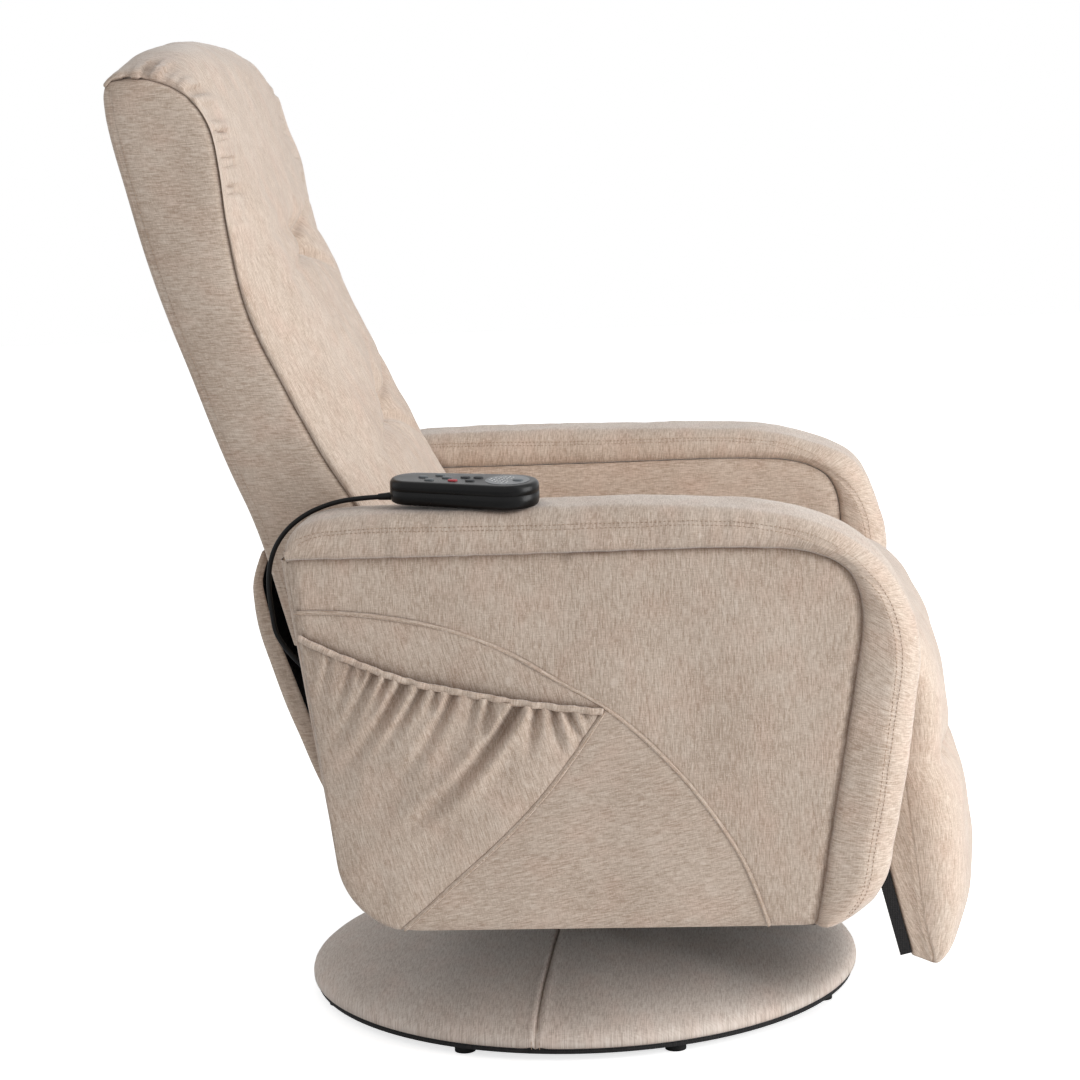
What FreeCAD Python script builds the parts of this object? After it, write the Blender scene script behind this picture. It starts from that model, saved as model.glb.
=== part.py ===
"""Swivel recliner massage chair: a parametric document, written out as one STEP file per piece.

Frame: millimetres, +X towards the sitter's feet, +Y to the sitter's left, +Z up.
The origin is on the floor, on the swivel axis.
"""
import FreeCAD, Part
import Sketcher
import math
import os

Vector = FreeCAD.Vector
doc = FreeCAD.newDocument("massage_chair")

# ---------------------------------------------------------------- driving dimensions

SIZES = {
    # base
    "foot_height": 8, "foot_radius": 11, "foot_circle": 286,
    "base_radius": 305, "plate_thick": 10, "cover_edge": 12, "cover_rise": 44,
    "column_radius": 38, "column_wall": 4, "column_top": 158,
    "flange_radius": 95, "flange_thick": 6, "spindle_radius": 24,
    # body
    "overall_width": 780, "arm_width": 120, "body_bottom": 166,
    "panel_thick": 16, "pad_overhang": 2, "frame_wall": 28, "arm_edge_round": 36,
    "seam_height": 541, "arm_top_back": 579, "arm_top_middle": 583.8, "arm_top_front": 572,
    "swivel_plate_side": 200, "swivel_plate_thick": 8, "dust_cover_thick": 4,
    "beam_width": 30, "beam_height": 30, "beam_spacing": 220,
    "inlet_x": -90, "inlet_y": 330,
    # mechanism
    "side_plate_thick": 6, "side_plate_inner": 264,
    "recline_x": -190, "recline_z": 400, "knee_x": 316, "knee_z": 380,
    "pin_radius": 8, "stud_radius": 6, "running_gap": 0.05,
    "back_lever": 117.6, "back_half_swing": 15, "knee_lever": 50, "knee_half_swing": 37.5,
    "rod_inner": 258, "rod_thick": 4, "rod_height": 20,
    # seat
    "seat_half_width": 262, "seat_back": -95, "seat_front": 234,
    "rail_inner": 228, "rail_wide": 20, "rail_bottom": 335, "rail_height": 30,
    "rail_back": -120, "rail_front": 225, "spring_wire": 4,
    "cushion_bottom": 372, "cushion_top": 458,
    # back
    "back_half_width": 258, "back_wall": 12, "back_bottom": 430,
    "back_tube": 20, "back_tube_half": 226, "strap_width": 50, "strap_thick": 2,
    "motor_radius": 30, "motor_height": 24,
    # legrest
    "leg_lean": 14.2, "leg_half_width": 250, "knee_roll": 77, "board_thick": 12,
    "board_back": 45, "pad_front": 58, "leg_length": 302,
    # handset
    "handset_long": 151, "handset_nose": 31, "handset_tail": 25, "handset_tall": 21,
    "handset_split": 11, "handset_under": 3, "handset_wall": 2, "button_long": 10, "button_wide": 6.5,
    "button_gap": 0.5, "cord_thick": 5,
}

sheet = doc.addObject("Spreadsheet::Sheet", "Sizes")
for row, (alias, value) in enumerate(SIZES.items(), start=1):
    sheet.set(f"A{row}", alias)
    sheet.set(f"B{row}", str(value))
    sheet.setAlias(f"B{row}", alias)
doc.recompute()


def size(alias):
    """The number in one cell of the sheet."""
    return float(sheet.get(alias))


def cell(alias):
    """The expression that names one cell."""
    return f"Sizes.{alias}"


nodes = []


def keep(piece, label):
    """Names a finished sub-part, so that it is checked and written at the end."""
    piece.Label = label
    nodes.append(piece)
    return piece


# ---------------------------------------------------------------- outlines and features

def rounded(corners, closed=True):
    """Lines and tangent arcs through corners (x, y[, radius])."""
    points = [Vector(c[0], c[1], 0) for c in corners]
    radii = [c[2] if len(c) > 2 else 0 for c in corners]
    count = len(points)
    ends, arcs = [], []
    for i, point in enumerate(points):
        if radii[i] == 0 or (not closed and i in (0, count - 1)):
            ends.append((point, point))
            arcs.append(None)
            continue
        back = (points[i - 1] - point).normalize()
        ahead = (points[(i + 1) % count] - point).normalize()
        half = back.getAngle(ahead) / 2
        reach = radii[i] / math.tan(half)
        start, end = point + back * reach, point + ahead * reach
        middle = point + (back + ahead).normalize() * (radii[i] / math.sin(half) - radii[i])
        ends.append((start, end))
        arcs.append(Part.Arc(start, middle, end))
    pieces = []
    for i in range(count if closed else count - 1):
        if arcs[i]:
            pieces.append(arcs[i])
        start, end = ends[i][1], ends[(i + 1) % count][0]
        if (end - start).Length > 1e-6:
            pieces.append(Part.LineSegment(start, end))
    return pieces


def origin_plane(body, role):
    """One of a body's own origin planes."""
    return next(f for f in body.Origin.OriginFeatures if f.Role == role)


def add_sketch(body, role, name, geometry, offset=None):
    """A sketch on one of the body's origin planes, shifted along its normal by an expression."""
    sketch = body.newObject("Sketcher::SketchObject", name)
    sketch.AttachmentSupport = (origin_plane(body, role), "")
    sketch.MapMode = "FlatFace"
    for item in geometry:
        sketch.addGeometry(item, False)
    if offset is not None:
        sketch.setExpression("AttachmentOffset.Base.z", offset)
    return sketch


def add_feature(body, kind, name, sketch, length=None, reversed_=False, midplane=False):
    """A pad or pocket whose length is an expression."""
    feature = body.newObject(f"PartDesign::{kind}", name)
    feature.Profile = sketch
    feature.Reversed = reversed_
    feature.Midplane = midplane
    if length is not None:
        feature.setExpression("Length", length)
    return feature


def prism_xz(label, geometry, inner, outer, side=-1):
    """A body extruded across the chair, from inner to outer, on the right (-1) or left (+1)."""
    body = doc.addObject("PartDesign::Body", label)
    offset = inner if side < 0 else f"-({outer})"
    sketch = add_sketch(body, "XZ_Plane", f"{label}_outline", geometry, offset)
    add_feature(body, "Pad", f"{label}_pad", sketch, f"({outer}) - ({inner})")
    return body


def prism_xz_centred(label, geometry, width):
    """A body extruded symmetrically across the chair."""
    body = doc.addObject("PartDesign::Body", label)
    sketch = add_sketch(body, "XZ_Plane", f"{label}_outline", geometry)
    add_feature(body, "Pad", f"{label}_pad", sketch, width, midplane=True)
    return body


def pocket_circle(body, name, role, centre, radius, offset=None):
    """Cuts a round hole right through a body, both ways from one of its planes."""
    circle = Part.Circle(Vector(centre[0], centre[1], 0), Vector(0, 0, 1), 1)
    sketch = add_sketch(body, role, f"{name}_circle", [circle], offset)
    constraint = Sketcher.Constraint("Radius", 0, 1)
    index = sketch.addConstraint(constraint)
    sketch.setExpression(f"Constraints[{index}]", radius)
    hole = add_feature(body, "Pocket", name, sketch, midplane=True)
    hole.Type = 1
    return hole


def box(name, low, high):
    """A Part box between two corners, each given as three expressions."""
    solid = doc.addObject("Part::Box", name)
    for k, (axis, dimension) in enumerate(zip("xyz", ("Length", "Width", "Height"))):
        solid.setExpression(f"Placement.Base.{axis}", f"{low[k]}")
        solid.setExpression(dimension, f"({high[k]}) - ({low[k]})")
    return solid


def cylinder(name, radius, height, base, axis="z"):
    """A Part cylinder from expressions, standing on a base point along one axis."""
    solid = doc.addObject("Part::Cylinder", name)
    turns = {"z": (Vector(0, 0, 1), 0), "y": (Vector(1, 0, 0), -90), "-y": (Vector(1, 0, 0), 90),
             "x": (Vector(0, 1, 0), 90), "-x": (Vector(0, 1, 0), -90)}
    solid.Placement = FreeCAD.Placement(Vector(), FreeCAD.Rotation(*turns[axis]))
    solid.setExpression("Radius", f"{radius}")
    solid.setExpression("Height", f"{height}")
    for k, letter in enumerate("xyz"):
        solid.setExpression(f"Placement.Base.{letter}", f"{base[k]}")
    return solid


def cut(name, base, tool):
    """The base without the tool."""
    result = doc.addObject("Part::Cut", name)
    result.Base, result.Tool = base, tool
    return result


def fuse(name, *parts):
    """Several overlapping shapes as one."""
    result = doc.addObject("Part::MultiFuse", name)
    result.Shapes = list(parts)
    return result


def group(label, members):
    """Identical separate solids that share one node."""
    result = doc.addObject("Part::Compound", label)
    result.Links = list(members)
    return keep(result, label)


def mirrored(name, source):
    """The same piece on the other side of the chair's middle plane."""
    result = doc.addObject("Part::Mirroring", name)
    result.Source = source
    result.Normal = Vector(0, 1, 0)
    result.Base = Vector(0, 0, 0)
    return result


def pair(label, right):
    """A right-hand piece and its mirror image as one node."""
    return group(label, [right, mirrored(f"{label}_left", right)])


def fixed_shape(label, shape):
    """A piece made directly from Part's functions."""
    feature = doc.addObject("Part::Feature", label)
    feature.Shape = shape
    return keep(feature, label)


def polar(radius, degrees):
    """A point on a circle about the swivel axis."""
    angle = math.radians(degrees)
    return radius * math.cos(angle), radius * math.sin(angle)


# ---------------------------------------------------------------- base

PLATE_LOW = cell("foot_height")
PLATE_TOP = f"{cell('foot_height')} + {cell('plate_thick')}"


def build_base():
    """Glides, board, upholstered disc, column and bush: everything that stays on the floor."""
    feet = []
    for k in range(8):
        x, y = polar(1, 22.5 + 45 * k)
        at = (f"{x:.6f} * {cell('foot_circle')}", f"{y:.6f} * {cell('foot_circle')}", "0")
        feet.append(cylinder(f"foot_{k + 1}", cell("foot_radius"), cell("foot_height"), at))
    feet.append(cylinder("foot_centre", cell("foot_radius"), cell("foot_height"), ("0", "0", "0")))
    group("base_feet", feet)

    keep(cylinder("base_plate", f"{cell('base_radius')} - 3", cell("plate_thick"),
                  ("0", "0", PLATE_LOW)), "base_plate")

    # the padded cover is a shallow dome round the column, turned about the swivel axis
    low = size("foot_height") + size("plate_thick")
    rim, edge, rise = size("base_radius"), size("cover_edge"), size("cover_rise")
    inner, collar = size("flange_radius") + 2, size("column_radius") + 2
    cover = doc.addObject("PartDesign::Body", "base_cover")
    profile = rounded([(inner, low), (rim, low), (rim, low + edge, 9),
                       (inner + 60, low + rise * 0.86, 200), (collar, low + rise),
                       (collar, low + size("flange_thick") + 1), (inner, low + size("flange_thick") + 1)])
    sketch = add_sketch(cover, "XZ_Plane", "base_cover_profile", profile)
    turn = cover.newObject("PartDesign::Revolution", "base_cover_turn")
    turn.Profile = sketch
    turn.ReferenceAxis = (sketch, ["V_Axis"])
    turn.Angle = 360
    keep(cover, "base_cover")

    tube = cylinder("column_tube", cell("column_radius"),
                    f"{cell('column_top')} - ({PLATE_TOP})", ("0", "0", PLATE_TOP))
    flange = cylinder("column_flange", cell("flange_radius"), cell("flange_thick"),
                      ("0", "0", PLATE_TOP))
    bore = cylinder("column_bore", f"{cell('column_radius')} - {cell('column_wall')}",
                    cell("column_top"), ("0", "0", f"{PLATE_TOP} + {cell('flange_thick')}"))
    keep(cut("base_column", fuse("column_weldment", tube, flange), bore), "base_column")

    sleeve = cylinder("bush_outside", f"{cell('column_radius')} - {cell('column_wall')}",
                      "60", ("0", "0", f"{cell('column_top')} - 60"))
    hole = cylinder("bush_inside", f"{cell('spindle_radius')} + {cell('running_gap')}",
                    "80", ("0", "0", f"{cell('column_top')} - 70"))
    keep(cut("column_bush", sleeve, hole), "column_bush")


# ---------------------------------------------------------------- turning chassis

WASHER_TOP = f"{cell('column_top')} + 4"
SWIVEL_TOP = f"{WASHER_TOP} + {cell('swivel_plate_thick')}"
HALF_WIDTH = f"{cell('overall_width')} / 2"
ARM_INNER = f"{cell('overall_width')} / 2 - {cell('arm_width')}"


def build_chassis():
    """Spindle, swivel plate, cross beams, dust cover, front panel and rear rail."""
    keep(cylinder("spindle", cell("spindle_radius"), "100",
                  ("0", "0", f"{WASHER_TOP} - 100")), "spindle")
    ring = cylinder("washer_outside", f"{cell('column_radius')}", "3.6",
                    ("0", "0", f"{cell('column_top')} + 0.2"))
    hole = cylinder("washer_inside", f"{cell('spindle_radius')} + 1", "10",
                    ("0", "0", f"{cell('column_top')} - 1"))
    keep(cut("thrust_washer", ring, hole), "thrust_washer")

    half = f"{cell('swivel_plate_side')} / 2"
    plate = box("swivel_plate_blank", (f"-{half}", f"-{half}", WASHER_TOP), (half, half, SWIVEL_TOP))
    keep(plate, "swivel_plate")
    bolts = []
    for x in (-1, 1):
        for y in (-1, 1):
            at = (f"{x} * {cell('beam_spacing')} / 2 * 0.82", f"{y} * 80", f"{WASHER_TOP} - 5")
            bolts.append(cylinder(f"swivel_bolt_{len(bolts) + 1}", "6.5", "5", at))
    group("swivel_bolts", bolts)

    beams = []
    for k, x in enumerate((-1, 1)):
        middle = f"{x} * {cell('beam_spacing')} / 2"
        beams.append(box(f"beam_{k + 1}",
                         (f"{middle} - {cell('beam_width')} / 2", f"-({ARM_INNER})", SWIVEL_TOP),
                         (f"{middle} + {cell('beam_width')} / 2", ARM_INNER,
                          f"{SWIVEL_TOP} + {cell('beam_height')}")))
    group("chassis_beams", beams)

    hole_half = f"{cell('swivel_plate_side')} / 2 + 5"
    sheet_blank = box("dust_cover_blank", ("-198", f"-({ARM_INNER}) + 1", cell("body_bottom")),
                      ("216", f"{ARM_INNER} - 1", f"{cell('body_bottom')} + {cell('dust_cover_thick')}"))
    window = box("dust_cover_window", (f"-({hole_half})", f"-({hole_half})", f"{cell('body_bottom')} - 5"),
                 (hole_half, hole_half, f"{cell('body_bottom')} + 10"))
    keep(cut("bottom_cover", sheet_blank, window), "bottom_cover")

    keep(box("front_panel", ("217", f"-({ARM_INNER}) + 1", "171"), ("229", f"{ARM_INNER} - 1", "308")),
         "front_panel")
    keep(box("rear_rail", ("-203", f"-({ARM_INNER})", "207"), ("-185", ARM_INNER, "260")), "rear_rail")

    keep(box("control_box", ("-105", "20", f"{SWIVEL_TOP} + {cell('beam_height')}"),
             ("105", "110", f"{SWIVEL_TOP} + {cell('beam_height')} + 40")), "control_box")

    x, y, low = cell("inlet_x"), cell("inlet_y"), f"{cell('body_bottom')} - 2"
    socket = cylinder("inlet_body", "8.5", "22", (x, y, low))
    lip = cylinder("inlet_lip", "11", "2.9", (x, y, low))
    well = cylinder("inlet_well", "3.2", "12", (x, y, f"{low} - 2"))
    keep(cut("power_inlet", fuse("inlet_shell", socket, lip), well), "power_inlet")


# ---------------------------------------------------------------- arms

SEAM_CORNER = (321, 541, 85)      # where the top seam turns down the front
SEAM_FOOT = (255.5, 160)          # lower end of the front seam
SEAM_SLOPE = (SEAM_CORNER[0] - SEAM_FOOT[0]) / (SEAM_CORNER[1] - SEAM_FOOT[1])
ARM_BACK_TOP = (-255, 541)        # upper back corner of the side panel
ARM_BACK_LOW = (-205, 166, 80)    # rounded lower back corner


def side_outline(inset=0.0):
    """The flat side of an arm below its padded band."""
    return rounded([(ARM_BACK_TOP[0] + inset, ARM_BACK_TOP[1] - inset),
                    (SEAM_CORNER[0] - 1.2 * inset, SEAM_CORNER[1] - inset, SEAM_CORNER[2]),
                    (SEAM_FOOT[0] + SEAM_SLOPE * (size("body_bottom") - SEAM_FOOT[1]) - 1.2 * inset,
                     size("body_bottom") + inset, 12),
                    (ARM_BACK_LOW[0] + inset, ARM_BACK_LOW[1] + inset, ARM_BACK_LOW[2])])


def band_outline():
    """The padded band that runs over the arm's top and down its front."""
    back = -250
    return rounded([(back, size("seam_height")), (back, size("arm_top_back"), 37),
                    (60, size("arm_top_middle"), 800), (380, size("arm_top_front"), 150), (318, 160, 38),
                    SEAM_FOOT, SEAM_CORNER])


def long_edges(shape, across):
    """Names of the edges that run round the band's outer face, at one side plane."""
    names = []
    for k, edge in enumerate(shape.Edges, start=1):
        middle = edge.valueAt((edge.FirstParameter + edge.LastParameter) / 2)
        flat = abs(edge.BoundBox.YLength) < 0.01 and abs(middle.y - across) < 0.01
        top_or_front = middle.z > 575 or (middle.x > 322 and middle.z > 200)
        corner = middle.x < -230 and middle.z > 560
        if flat and (top_or_front or corner):
            names.append(f"Edge{k}")
    return names


def build_arm(side, name):
    """One arm: frame ring, outer and inner panels and the padded band."""
    thick, lip = cell("panel_thick"), cell("pad_overhang")
    keep(prism_xz(f"{name}_side_panel", side_outline(), f"{HALF_WIDTH} - {lip} - {thick}",
                  f"{HALF_WIDTH} - {lip}", side), f"{name}_side_panel")
    low, high = f"{ARM_INNER} + {thick}", f"{HALF_WIDTH} - {lip} - {thick}"
    outside = prism_xz(f"{name}_frame_blank", side_outline(1), low, high, side)
    inside = prism_xz(f"{name}_frame_window", side_outline(size("frame_wall")),
                      f"{low} - 5", f"{high} + 5", side)
    if side > 0:
        hole = cylinder("inlet_hole", "9", "40", (cell("inlet_x"), cell("inlet_y"), f"{cell('body_bottom')} - 5"))
        inside = fuse("left_frame_openings", inside, hole)
    keep(cut(f"{name}_arm_frame", outside, inside), f"{name}_arm_frame")

    band = prism_xz(f"{name}_arm_pad", band_outline(), ARM_INNER, HALF_WIDTH, side)
    doc.recompute()
    shape = band.Tip.Shape
    width = size("overall_width") / 2
    edges = long_edges(shape, side * width) + long_edges(shape, side * (width - size("arm_width")))
    prism = band.Tip
    crown = band.newObject("PartDesign::Fillet", f"{name}_arm_crown")
    crown.Base = (prism, edges)
    crown.setExpression("Radius", cell("arm_edge_round"))
    keep(band, f"{name}_arm_pad")


def build_inner_panels():
    """The upholstered boards on the seat side of both arms."""
    right = prism_xz("inner_panel_right", side_outline(), ARM_INNER, f"{ARM_INNER} + {cell('panel_thick')}")
    pair("inner_panels", right)


def pocket_outline(inset, hem_lift):
    """The gusseted pocket on the arm's outer face, with its mouth along the upper edge."""
    return rounded([(-244 + inset, 462 + hem_lift), (-85, 407 + hem_lift, 600),
                    (52 - 1.6 * inset, 385 + hem_lift), (-27 - 1.3 * inset, 282, 400),
                    (-131, 169 + inset), (-199 + inset, 169 + inset, 76 - inset)])


def build_pocket():
    """A pouch on the right side panel, open along its hem."""
    face = f"{HALF_WIDTH} - {cell('pad_overhang')}"
    outside = prism_xz("pocket_blank", pocket_outline(0, 0), f"{face} + 0", f"{face} + 17")
    inside = prism_xz("pocket_hollow", pocket_outline(5, 30), f"{face} - 1", f"{face} + 14")
    keep(cut("side_pocket", outside, inside), "side_pocket")


# ---------------------------------------------------------------- reclining mechanism

PLATE_INNER = cell("side_plate_inner")
PLATE_OUTER = f"{cell('side_plate_inner')} + {cell('side_plate_thick')}"


def swing_point(centre, length, degrees):
    """The end of a lever that hangs below a pivot, swung forward by some degrees."""
    angle = math.radians(degrees)
    return centre[0] + length * math.sin(angle), centre[1] - length * math.cos(angle)


RECLINE = (size("recline_x"), size("recline_z"))
KNEE = (size("knee_x"), size("knee_z"))
BACK_EYE = swing_point(RECLINE, size("back_lever"), -size("back_half_swing"))
KNEE_EYE = swing_point(KNEE, size("knee_lever"), -size("knee_half_swing"))


def build_side_plates():
    """Steel plates on the arms' inner faces, bored for the recline and knee pins."""
    outline = [(-225, 432, 25), (-152, 432, 25), (-128, 396, 20), (292, 396, 10), (306, 408, 20),
               (342, 408, 22), (342, 350, 22), (270, 332, 20), (-225, 332, 20)]
    bore = f"{cell('pin_radius')} + {cell('running_gap')}"
    plate = prism_xz("mechanism_plate_right", rounded(outline), PLATE_INNER, PLATE_OUTER)
    pocket_circle(plate, "recline_bore", "XZ_Plane", RECLINE, bore)
    pocket_circle(plate, "knee_bore", "XZ_Plane", KNEE, bore)
    pair("mechanism_plates", plate)


def build_push_rods():
    """Flat rods that carry the back's lever travel to the legrest's lever."""
    dx, dz = KNEE_EYE[0] - BACK_EYE[0], KNEE_EYE[1] - BACK_EYE[1]
    length = math.hypot(dx, dz)
    along = (dx / length, dz / length)
    up = (-along[1], along[0])
    half = size("rod_height") / 2

    def at(distance, rise):
        return (BACK_EYE[0] + along[0] * distance + up[0] * rise,
                BACK_EYE[1] + along[1] * distance + up[1] * rise)

    rear, front = -14, length + 15
    outline = [(*at(rear, half + 3), 11), (*at(rear + 34, half), 10), (*at(front - 40, half), 10),
               (*at(front - 32, half + 5), 8), (*at(front, half + 5), 14), (*at(front, -half - 12), 14),
               (*at(front - 34, -half - 12), 14), (*at(front - 46, -half), 10), (*at(rear + 34, -half), 10),
               (*at(rear, -half - 3), 11)]
    rod = prism_xz("push_rod_right", rounded(outline), cell("rod_inner"),
                   f"{cell('rod_inner')} + {cell('rod_thick')}")
    pocket_circle(rod, "push_rod_eye", "XZ_Plane", BACK_EYE, f"{cell('stud_radius')} + {cell('running_gap')}")
    wide = size("stud_radius") + 2
    slot = [(*at(length - wide, wide), 0.8 * wide), (*at(length + wide, wide), 0.8 * wide),
            (*at(length + wide, -wide - 7.5), 0.8 * wide), (*at(length - wide, -wide - 7.5), 0.8 * wide)]
    sketch = add_sketch(rod, "XZ_Plane", "push_rod_slot_outline", rounded(slot))
    opening = add_feature(rod, "Pocket", "push_rod_slot", sketch, midplane=True)
    opening.Type = 1
    pair("push_rods", rod)


# ---------------------------------------------------------------- seat

def zigzag_wire(x0, x1, y, z, turns, reach, radius):
    """A sinuous seat spring's centre line between two cross rails."""
    pitch = (x1 - x0) / (turns + 1)
    corners = [(x0, y)]
    for k in range(turns):
        sign = 1 if k % 2 == 0 else -1
        x = x0 + pitch * (k + 0.5)
        corners += [(x, y + sign * reach, radius), (x + pitch, y + sign * reach, radius)]
    corners.append((x1, y))
    wire = Part.Wire([piece.toShape() for piece in rounded(corners, closed=False)])
    wire.translate(Vector(0, 0, z))
    return wire


def swept_tube(wire, radius):
    """A round bar along a wire."""
    edge = wire.OrderedEdges[0]
    start = edge.valueAt(edge.FirstParameter)
    tangent = edge.tangentAt(edge.FirstParameter)
    if edge.Orientation == "Reversed":
        start, tangent = edge.valueAt(edge.LastParameter), edge.tangentAt(edge.LastParameter) * -1
    ring = Part.Wire([Part.Circle(start, tangent, radius).toShape()])
    return wire.makePipeShell([ring], True, False)


def build_seat():
    """Rails, sinuous springs, seat motors and the cushion."""
    rail_top = f"{cell('rail_bottom')} + {cell('rail_height')}"
    rail_outer = f"{cell('rail_inner')} + {cell('rail_wide')}"
    rail = box("side_rail_bar", (cell("rail_back"), f"-({rail_outer})", cell("rail_bottom")),
               (cell("rail_front"), f"-{cell('rail_inner')}", rail_top))
    middle = f"{cell('rail_bottom')} + {cell('rail_height')} / 2 + 3"
    spacers = [cylinder(f"rail_spacer_{k + 1}", "8", f"{PLATE_INNER} - ({rail_outer}) + 2",
                        (f"{x}", f"-{PLATE_INNER}", middle), "y") for k, x in enumerate((-75, 130))]
    pair("seat_side_rails", fuse("side_rail_right", rail, *spacers))
    cross = []
    for k, low in enumerate((cell("rail_back"), f"{cell('rail_front')} - 30")):
        cross.append(box(f"cross_rail_{k + 1}", (low, f"-{cell('rail_inner')}", cell("rail_bottom")),
                         (f"{low} + 30", cell("rail_inner"), rail_top)))
    group("seat_cross_rails", cross)

    wire_radius = size("spring_wire") / 2
    height = size("rail_bottom") + size("rail_height") + wire_radius
    springs = [swept_tube(zigzag_wire(size("rail_back") + 8, size("rail_front") - 8, y, height, 8, 24, 12),
                          wire_radius) for y in (-180, -90, 0, 90, 180)]
    fixed_shape("seat_springs", Part.makeCompound(springs))

    pads = [cylinder(f"seat_motor_{k + 1}", cell("motor_radius"), cell("motor_height"),
                     ("60", f"{y}", f"{cell('rail_bottom')} + 6")) for k, y in enumerate((-135, 135))]
    group("seat_motors", pads)

    back, front = size("seat_back"), size("seat_front")
    low, high = size("cushion_bottom"), size("cushion_top")
    outline = rounded([(back, low), (back, high, 25), (front - 12, high, 20), (front - 1, 432, 30),
                       (front - 3, 398, 30), (front - 3, low)])
    keep(prism_xz_centred("seat_cushion", outline, f"2 * {cell('seat_half_width')}"), "seat_cushion")


# ---------------------------------------------------------------- backrest

BACK_SLOPE = (435 - 269) / (1010 - 430)     # how far the back's rear face leans per unit of height
# front edge of the back's side, and the corners of its rear edge
SIDE_SEAM = [(-333, 1008, 48), (-318, 880, 250), (-303, 790, 250), (-249, 663, 400)]
REAR_EDGE = [(-305, 560, 300), (-390, 797, 500), (-427, 925, 300)]


def back_line(z, ahead=0.0):
    """A point on the back's rear face at height z, moved forward."""
    return -269 - BACK_SLOPE * (z - 430) + ahead


FRAME_LEAN = 0.3214    # lean of the tube frame, which runs up from the recline pin


def frame_x(z):
    """The tube frame's centre line at height z."""
    return RECLINE[0] - FRAME_LEAN * (z - RECLINE[1])


def build_back_frame():
    """Bent tube, hinge plates with their levers, elastic straps, heat pad and motors."""
    low, high, bend = 452, 955, 60
    half = size("back_tube_half")
    lean = math.atan(FRAME_LEAN)
    up = Vector(-math.sin(lean), 0, math.cos(lean))
    rise = (high - low) / math.cos(lean)
    corners = [(-half, 0), (-half, rise, bend), (half, rise, bend), (half, 0)]
    wire = Part.Wire([piece.toShape() for piece in rounded(corners, closed=False)])
    turn = FreeCAD.Rotation(Vector(0, 1, 0), up, up.cross(Vector(0, 1, 0)) * -1, "XYZ")
    wire.Placement = FreeCAD.Placement(Vector(frame_x(low), 0, low), turn)
    tube = swept_tube(wire, size("back_tube") / 2)
    for z in (520, 900):
        bar = Part.makeCylinder(7, 2 * half, Vector(frame_x(z), -half, z), Vector(0, 1, 0))
        tube = tube.fuse(bar)
    fixed_shape("back_frame", tube.removeSplitter())

    outline = [(-262, 560, 8), (-226, 568, 8), (-166, 405, 24), (-203, 268, 16), (-240, 274, 16), (-214, 392, 30)]
    plate = prism_xz("hinge_plate_right", rounded(outline), "236", "242")
    pocket_circle(plate, "hinge_plate_bore", "XZ_Plane", RECLINE, cell("pin_radius"))
    stud = cylinder("hinge_plate_stud", cell("stud_radius"), "24",
                    (f"{BACK_EYE[0]}", "-239", f"{BACK_EYE[1]}"), "-y")
    pair("back_hinge_plates", fuse("hinge_plate_with_stud", plate, stud))
    pair("recline_pins", cylinder("recline_pin_right", cell("pin_radius"), "33.5",
                                  (cell("recline_x"), "-236", cell("recline_z")), "-y"))

    lean_turn = FreeCAD.Rotation(Vector(0, 1, 0), -math.degrees(lean))
    ahead = size("back_tube") / 2
    forward = lean_turn.multVec(Vector(1, 0, 0))

    def leaning(shape, z, offset, y=0.0):
        """Moves a shape made at the origin onto the leaning frame at height z."""
        shape.Placement = FreeCAD.Placement(Vector(frame_x(z), y, z) + forward * offset, lean_turn)
        return shape

    wide, thick = size("strap_width"), size("strap_thick")
    straps = [leaning(Part.makeBox(thick, 2 * half, wide, Vector(0, -half, -wide / 2)), z, ahead)
              for z in (560, 645, 730, 815, 890)]
    fixed_shape("back_webbing", Part.makeCompound(straps))
    pad = leaning(Part.makeBox(2, 300, 110, Vector(0, -150, -55)), 600, ahead + thick)
    fixed_shape("heat_pad", pad)
    motors = []
    for z in (602, 772):
        for y in (-95, 95):
            puck = Part.makeCylinder(size("motor_radius"), size("motor_height"), Vector(), Vector(-1, 0, 0))
            motors.append(leaning(puck, z, ahead - 0.5, y))
    fixed_shape("back_motors", Part.makeCompound(motors))


def build_back_soft():
    """The upholstered back: a hollow rear body with its sides, and the front cushion."""
    half, wall = size("back_half_width"), size("back_wall")
    bottom = size("back_bottom")
    seam_end = (-128, 440)
    outline = ([(back_line(bottom), bottom)] + REAR_EDGE + [(-435, 1010, 14)] + SIDE_SEAM
               + [seam_end, (-131, bottom)])
    blank = prism_xz_centred("back_body_blank", rounded(outline), f"2 * {cell('back_half_width')}")
    top = 1010 - wall
    inner_edge = [(x + wall, z, r) for x, z, r in REAR_EDGE]
    hollow = ([(back_line(bottom - 20, wall), bottom - 20)] + inner_edge + [(-422, top, 6)]
              + [(-250, top), (-40, 560), (-40, bottom - 20)])
    room = prism_xz_centred("back_body_room", rounded(hollow),
                            f"2 * ({cell('back_half_width')} - {cell('back_wall')})")
    keep(cut("back_body", blank, room), "back_body")

    front = [(-437, 1012.5), (-437, 1040, 22), (-350, 1052, 34), (-304, 972, 90), (-252, 806, 300),
             (-150, 580, 200), (-112, 490, 40), (-112, 438, 14), (-125, 434), seam_end]
    outline = front + [(x, z, r) for x, z, r in reversed(SIDE_SEAM)] + [(-434.4, 1010.3)]
    cushion = prism_xz_centred("back_cushion", rounded(outline), f"2 * {cell('back_half_width')}")
    keep(cushion, "back_cushion")


def build_skirt():
    """The cloth that hangs from the back's rear face to the rear rail."""
    outside = [(-300.5, 526), (-314, 486, 22), (-295, 402, 150), (-254, 290, 200), (-207.5, 212)]
    inside = [(-203.4, 214), (-249, 291, 200), (-290, 403, 150), (-309, 486, 17), (-296, 524)]
    keep(prism_xz_centred("back_skirt", rounded(outside + inside), "2 * 244"), "back_skirt")


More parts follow.
